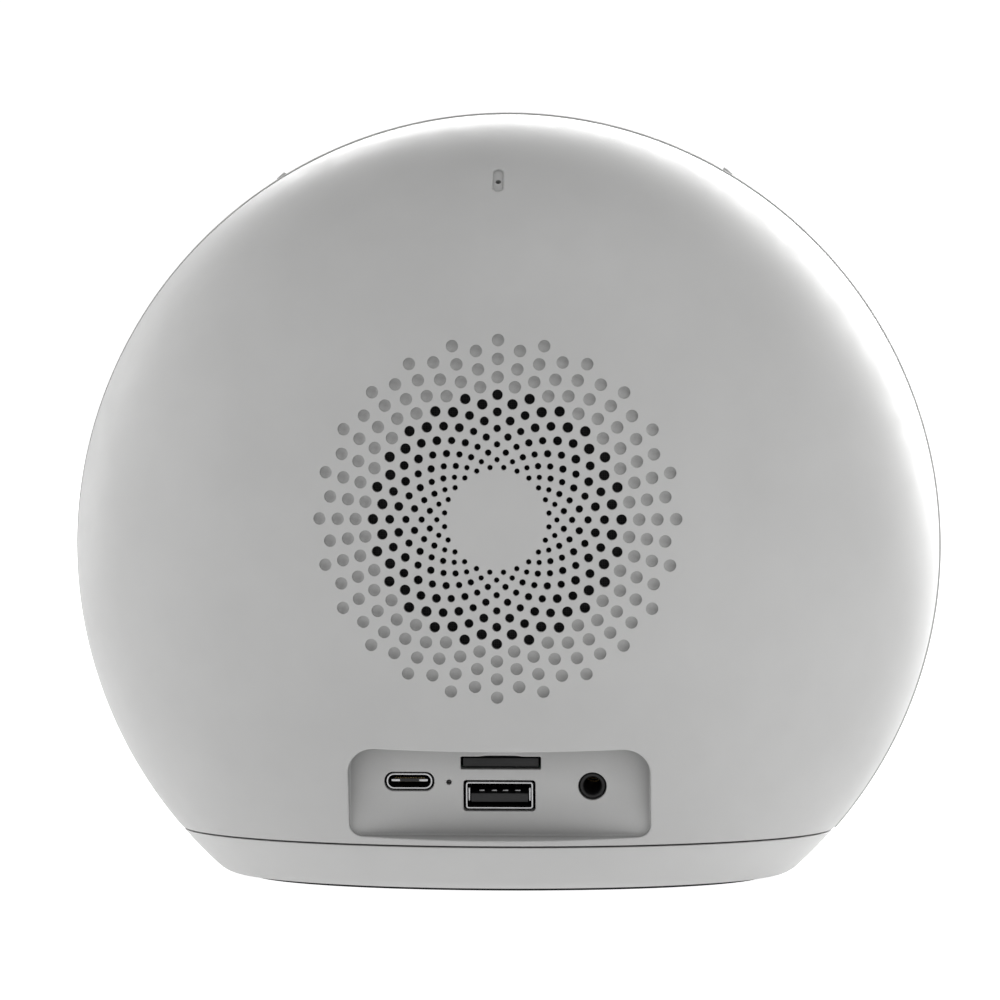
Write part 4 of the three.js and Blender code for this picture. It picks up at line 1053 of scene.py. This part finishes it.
def moulded(name, colour, roughness, grain=0.28 * MM, relief=0.006 * MM, hollow_shade=None, **sockets):
    """Moulded plastic: a fine spark-eroded grain, a slow waviness, slight changes of tone and gloss, and, if
    asked, painted shade in hollows and corners.
    """
    finish = Finish(name, colour, roughness, **sockets)
    finish.mottle(finish.noise(18 * MM, 3), 0.975, 1.02)
    # Painted shade: the colour is darkened near close surfaces, in hollows, recesses and corners.
    if hollow_shade:
        finish.painted_hollow_shade(*hollow_shade)
    finish.rough(finish.noise(4 * MM), 0.05)
    waves = finish.relief(finish.noise(26 * MM, 1), 0.02 * MM)
    finish.relief(finish.noise(grain, 3), relief, waves)
    return finish.material


def metal(name, colour, roughness, stretch=(1, 1, 1), scratch=0.6 * MM, relief=0.002 * MM):
    """Metal with fine marks that run along the axis that is stretched least."""
    finish = Finish(name, colour, roughness, metallic=1.0)
    marks = finish.noise(scratch, 4, finish.stretched(stretch))
    finish.mottle(finish.noise(3 * MM), 0.93, 1.04)
    finish.rough(marks, 0.1)
    finish.relief(marks, relief)
    return finish.material


def wound(name, colour, roughness, pitch, metallic, axis, relief):
    """Wire, a pleated skin or a weave: bands across an axis."""
    finish = Finish(name, colour, roughness, metallic=metallic)
    wave = finish.node("TexWave", Vector=finish.place, Scale=1 / (math.pi * pitch))
    wave.bands_direction = axis
    finish.mottle(wave.outputs["Fac"], 0.7, 1.1)
    finish.rough(finish.noise(2 * MM), 0.06)
    finish.relief(wave.outputs["Fac"], relief)
    return finish.material


def woven(name, colour, pitch):
    """A fine woven mesh: threads across X and across Z."""
    finish = Finish(name, colour, 0.85)
    threads = []
    for axis in ("X", "Z"):
        wave = finish.node("TexWave", Vector=finish.place, Scale=1 / pitch / math.pi)
        wave.bands_direction = axis
        threads.append(wave.outputs["Fac"])
    weave = finish.node("Math")
    weave.operation = "MAXIMUM"
    for i, thread in enumerate(threads):
        finish.tree.links.new(thread, weave.inputs[i])
    finish.mottle(weave.outputs[0], 0.25, 1.3)
    finish.rough(finish.noise(1 * MM), 0.05)
    finish.relief(weave.outputs[0], 0.05 * MM)
    return finish.material


def glossy_black(name):
    """Polished glass over black print, with the faintly lighter window of the display."""
    finish = Finish(name, (0.008, 0.008, 0.01), 0.045, Coat_Weight=0.6, Coat_Roughness=0.02, IOR=1.5)
    finish.rough(finish.noise(14 * MM, 4), 0.02)
    centre = finish.node("Mapping", Vector=finish.place)
    centre.inputs["Location"].default_value = (0, 0, -RING_CENTRE.z)
    centre.inputs["Scale"].default_value = (1, 0, 1)
    length = finish.node("VectorMath")
    length.operation = "LENGTH"
    finish.tree.links.new(centre.outputs["Vector"], length.inputs[0])
    window = finish.mapped(length.outputs["Value"], DISPLAY_RADIUS, DISPLAY_RADIUS + DISPLAY_EDGE, 0.65, 0.35)
    finish.mottle(window, 0.6, 3.2)
    return finish.material


def solder_mask(name, colour):
    """A printed board: tracks in rows under a glossy green lacquer."""
    finish = Finish(name, colour, 0.38)
    tracks = finish.node("TexBrick", Vector=finish.place, Scale=180.0)
    tracks.inputs["Mortar Size"].default_value = 0.03
    finish.mottle(tracks.outputs["Fac"], 0.8, 1.6)
    finish.rough(finish.noise(2 * MM), 0.06)
    finish.relief(tracks.outputs["Fac"], 0.03 * MM)
    return finish.material


PALE = (0.63, 0.63, 0.625)
materials = {
    # The shell's colour carries painted shade in its hollows, reaching 9 mm from a close surface and down to
    # half its brightness.
    "shell": moulded("pale_plastic", PALE, 0.5, hollow_shade=(9 * MM, 0.5), Specular_IOR_Level=0.4),
    # Painted light: the base is the shell's pale plastic made 12 % lighter, standing in for the light that
    # reaches it from the floor below.
    "base": moulded("pale_plastic_painted_lighter", tuple(c * 1.12 for c in PALE), 0.52, Specular_IOR_Level=0.4),
    "key": moulded("key_plastic", tuple(c * 1.03 for c in PALE), 0.42, grain=0.2 * MM, relief=0.003 * MM),
    "rubber": moulded("black_rubber", (0.03, 0.03, 0.032), 0.82, grain=0.5 * MM, relief=0.02 * MM),
    "glass": glossy_black("black_glass"),
    "panel": moulded("display_film", (0.02, 0.021, 0.025), 0.16, grain=1 * MM, relief=0.001 * MM),
    "dark_plastic": moulded("black_plastic", (0.016, 0.016, 0.017), 0.4, grain=0.2 * MM, relief=0.004 * MM),
    "frame_metal": metal("cast_aluminium", (0.52, 0.53, 0.54), 0.5, scratch=0.4 * MM, relief=0.01 * MM),
    "board": solder_mask("green_board", (0.012, 0.07, 0.035)),
    "steel": metal("plated_steel", (0.66, 0.66, 0.67), 0.27, stretch=(1, 6, 1)),
    "magnet": moulded("ferrite", (0.05, 0.05, 0.055), 0.6, grain=0.25 * MM, relief=0.02 * MM),
    "copper": wound("enamelled_wire", (0.68, 0.33, 0.16), 0.3, 0.25 * MM, 1.0, "Y", 0.04 * MM),
    "cone": moulded("paper_cone", (0.022, 0.022, 0.023), 0.9, grain=0.6 * MM, relief=0.03 * MM),
    "flex_film": moulded("amber_film", (0.55, 0.27, 0.06), 0.25, grain=0.7 * MM, relief=0.002 * MM),
    "cloth": woven("dust_cloth", (0.05, 0.05, 0.052), 0.35 * MM),
}
gold = metal("gold_plate", (0.83, 0.62, 0.3), 0.25, stretch=(1, 6, 1), scratch=0.3 * MM)
matt_black = moulded("matt_black_plastic", (0.006, 0.006, 0.006), 0.8, Specular_IOR_Level=0.15)
dark_grey = moulded("dark_grey_plastic", (0.013, 0.013, 0.0135), 0.55, grain=0.2 * MM, relief=0.004 * MM)


def piece(obj, slot, *nodes, body="body", finish=None):
    """Finishes a new object, which rides on a body and stands for CAD nodes."""
    obj.data.materials.clear()
    obj.data.materials.append(finish or materials[slot])
    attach(obj, body)
    if nodes:
        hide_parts(*nodes)
    return obj


for row in frame["record"]["subparts"]:
    for socket in frame["nodes"][row["node"]].material_slots:
        socket.material = materials[row["material_slot"]]

piece(rear_shell(), "shell", "rear_shell")
piece(bezel_ring(), "shell", "front_ring")
piece(cover_glass(), "glass", "front_glass")
piece(base_skirt(), "base", "base_skirt")
piece(volume_key("volume_up_button", 1), "key", "volume_up_key", body="volume_up")
piece(volume_key("volume_down_button", -1), "key", "volume_down_key", body="volume_down")

piece(sleeve("usb_c_sleeve"), "steel", "usb_c_shell")
piece(sleeve("usb_c_lining"), "dark_plastic", finish=matt_black)
piece(boxes("usb_c_blade"), "dark_plastic", "usb_c_tongue")
piece(boxes("usb_c_latches"), "steel")
piece(boxes("usb_c_contacts"), "steel", finish=gold)
piece(boxes("usb_c_springs"), "steel")
piece(sleeve("usb_a_sleeve"), "steel", "usb_a_shell")
piece(sleeve("usb_a_lining"), "dark_plastic", finish=matt_black)
piece(boxes("usb_a_blade"), "dark_plastic", "usb_a_tongue")
piece(boxes("usb_a_contacts"), "steel")
piece(boxes("usb_a_clips"), "steel")
piece(sleeve("card_frame"), "dark_plastic", "card_socket", finish=matt_black)
piece(boxes("card_cover"), "dark_plastic", finish=dark_grey)
piece(jack_collar(), "dark_plastic", "audio_jack", finish=dark_grey)
piece(jack_contacts(), "steel", finish=gold)

UP_TO_REAR = Matrix.Rotation(-math.pi / 2, 4, "X")
for number in range(1, 5):
    node = f"base_screw_{number}"
    piece(cross_head_screw(f"cross_{node}", node, BASE_HEAD_HEIGHT), "steel", node)
    node = f"speaker_screw_{number}"
    piece(cross_head_screw(f"cross_{node}", node, SPEAKER_HEAD_HEIGHT, UP_TO_REAR), "steel", node)

EDGE_WIDTH = 0.25 * MM
for node in ("base_plate", "rubber_foot"):
    edge = frame["nodes"][node].modifiers.new("rounded_edges", "BEVEL")
    edge.width = EDGE_WIDTH
    edge.segments = 2
    edge.limit_method = "ANGLE"


# ---- camera, floor and light ----
def aimed(obj, place, target):
    obj.location = place
    obj.rotation_euler = (Vector(target) - Vector(place)).to_track_quat("-Z", "Y").to_euler()
    bpy.context.scene.collection.objects.link(obj)
    return obj


lens = bpy.data.cameras.new("camera")
lens.sensor_width = 36
lens.lens = 238.5
lens.clip_start = 0.05
lens.clip_end = 60
CAMERA_PLACE = (-0.0524, 1.3008, 0.1385)
CAMERA_TARGET = (0.00075, -0.0007, 0.0761)
bpy.context.scene.camera = aimed(bpy.data.objects.new("camera", lens), CAMERA_PLACE, CAMERA_TARGET)

SPEAKER_MIDDLE = (0, 0, 0.076)
# Each soft light's place, its width and height, and its power in watts.
SOFT_LIGHTS = {
    "top_light": ((-0.1, -1.45, 1.0), (1.6, 0.6), 32),
    "right_light": ((-1.1, -1.4, 0.7), (0.9, 1.2), 48),
    "left_light": ((1.25, -1.0, 0.4), (0.9, 1.2), 9),
    "high_front_light": ((-0.4, 0.8, 1.6), (0.8, 0.7), 7),
    "front_light": ((-0.2, 1.8, 0.5), (1.4, 0.8), 1.5),
    "right_side_light": ((-1.5, 0.1, 0.45), (0.9, 1.2), 4),
    "left_side_light": ((1.5, 0.1, 0.45), (0.9, 1.2), 6),
}
for name, (place, (width, height), power) in SOFT_LIGHTS.items():
    lamp = bpy.data.lights.new(name, "AREA")
    lamp.shape = "RECTANGLE"
    lamp.size, lamp.size_y = width, height
    lamp.energy = power
    aimed(bpy.data.objects.new(name, lamp), place, SPEAKER_MIDDLE)

# The floor and the background look white, and light the speaker with less than that.
SEEN = 1.05
FLOOR_LIGHT = 0.57
WORLD_LIGHT = 0.16


def white_to_the_eye(tree, light, socket):
    """Sets a brightness that is SEEN where the camera sees it directly, and less in all other light."""
    rays = tree.nodes.new("ShaderNodeLightPath")
    strength = tree.nodes.new("ShaderNodeMapRange")
    strength.inputs["To Min"].default_value = light
    strength.inputs["To Max"].default_value = SEEN
    tree.links.new(rays.outputs["Is Camera Ray"], strength.inputs["Value"])
    tree.links.new(strength.outputs["Result"], socket)


FLOOR_HALF = 12
FLOOR_DROP = 0.2 * MM  # keeps the floor clear of the foot's underside
work = bmesh.new()
bmesh.ops.create_grid(work, x_segments=1, y_segments=1, size=FLOOR_HALF)
floor = finished("floor", work, Vector((0, 0, -FLOOR_DROP)))
floor_finish = Finish("pale_floor", (0.3, 0.3, 0.3), 0.8)
floor_finish.mottle(floor_finish.noise(0.5), 0.99, 1.01)
floor_finish.shader.inputs["Emission Color"].default_value = (1, 1, 1, 1)
white_to_the_eye(floor_finish.tree, FLOOR_LIGHT, floor_finish.shader.inputs["Emission Strength"])
floor.data.materials.append(floor_finish.material)

world = bpy.data.worlds.new("studio")
world.use_nodes = True
background = world.node_tree.nodes["Background"]
background.inputs["Color"].default_value = (1, 1, 1, 1)
white_to_the_eye(world.node_tree, WORLD_LIGHT, background.inputs["Strength"])
bpy.context.scene.world = world
bpy.context.scene.view_settings.view_transform = "Standard"
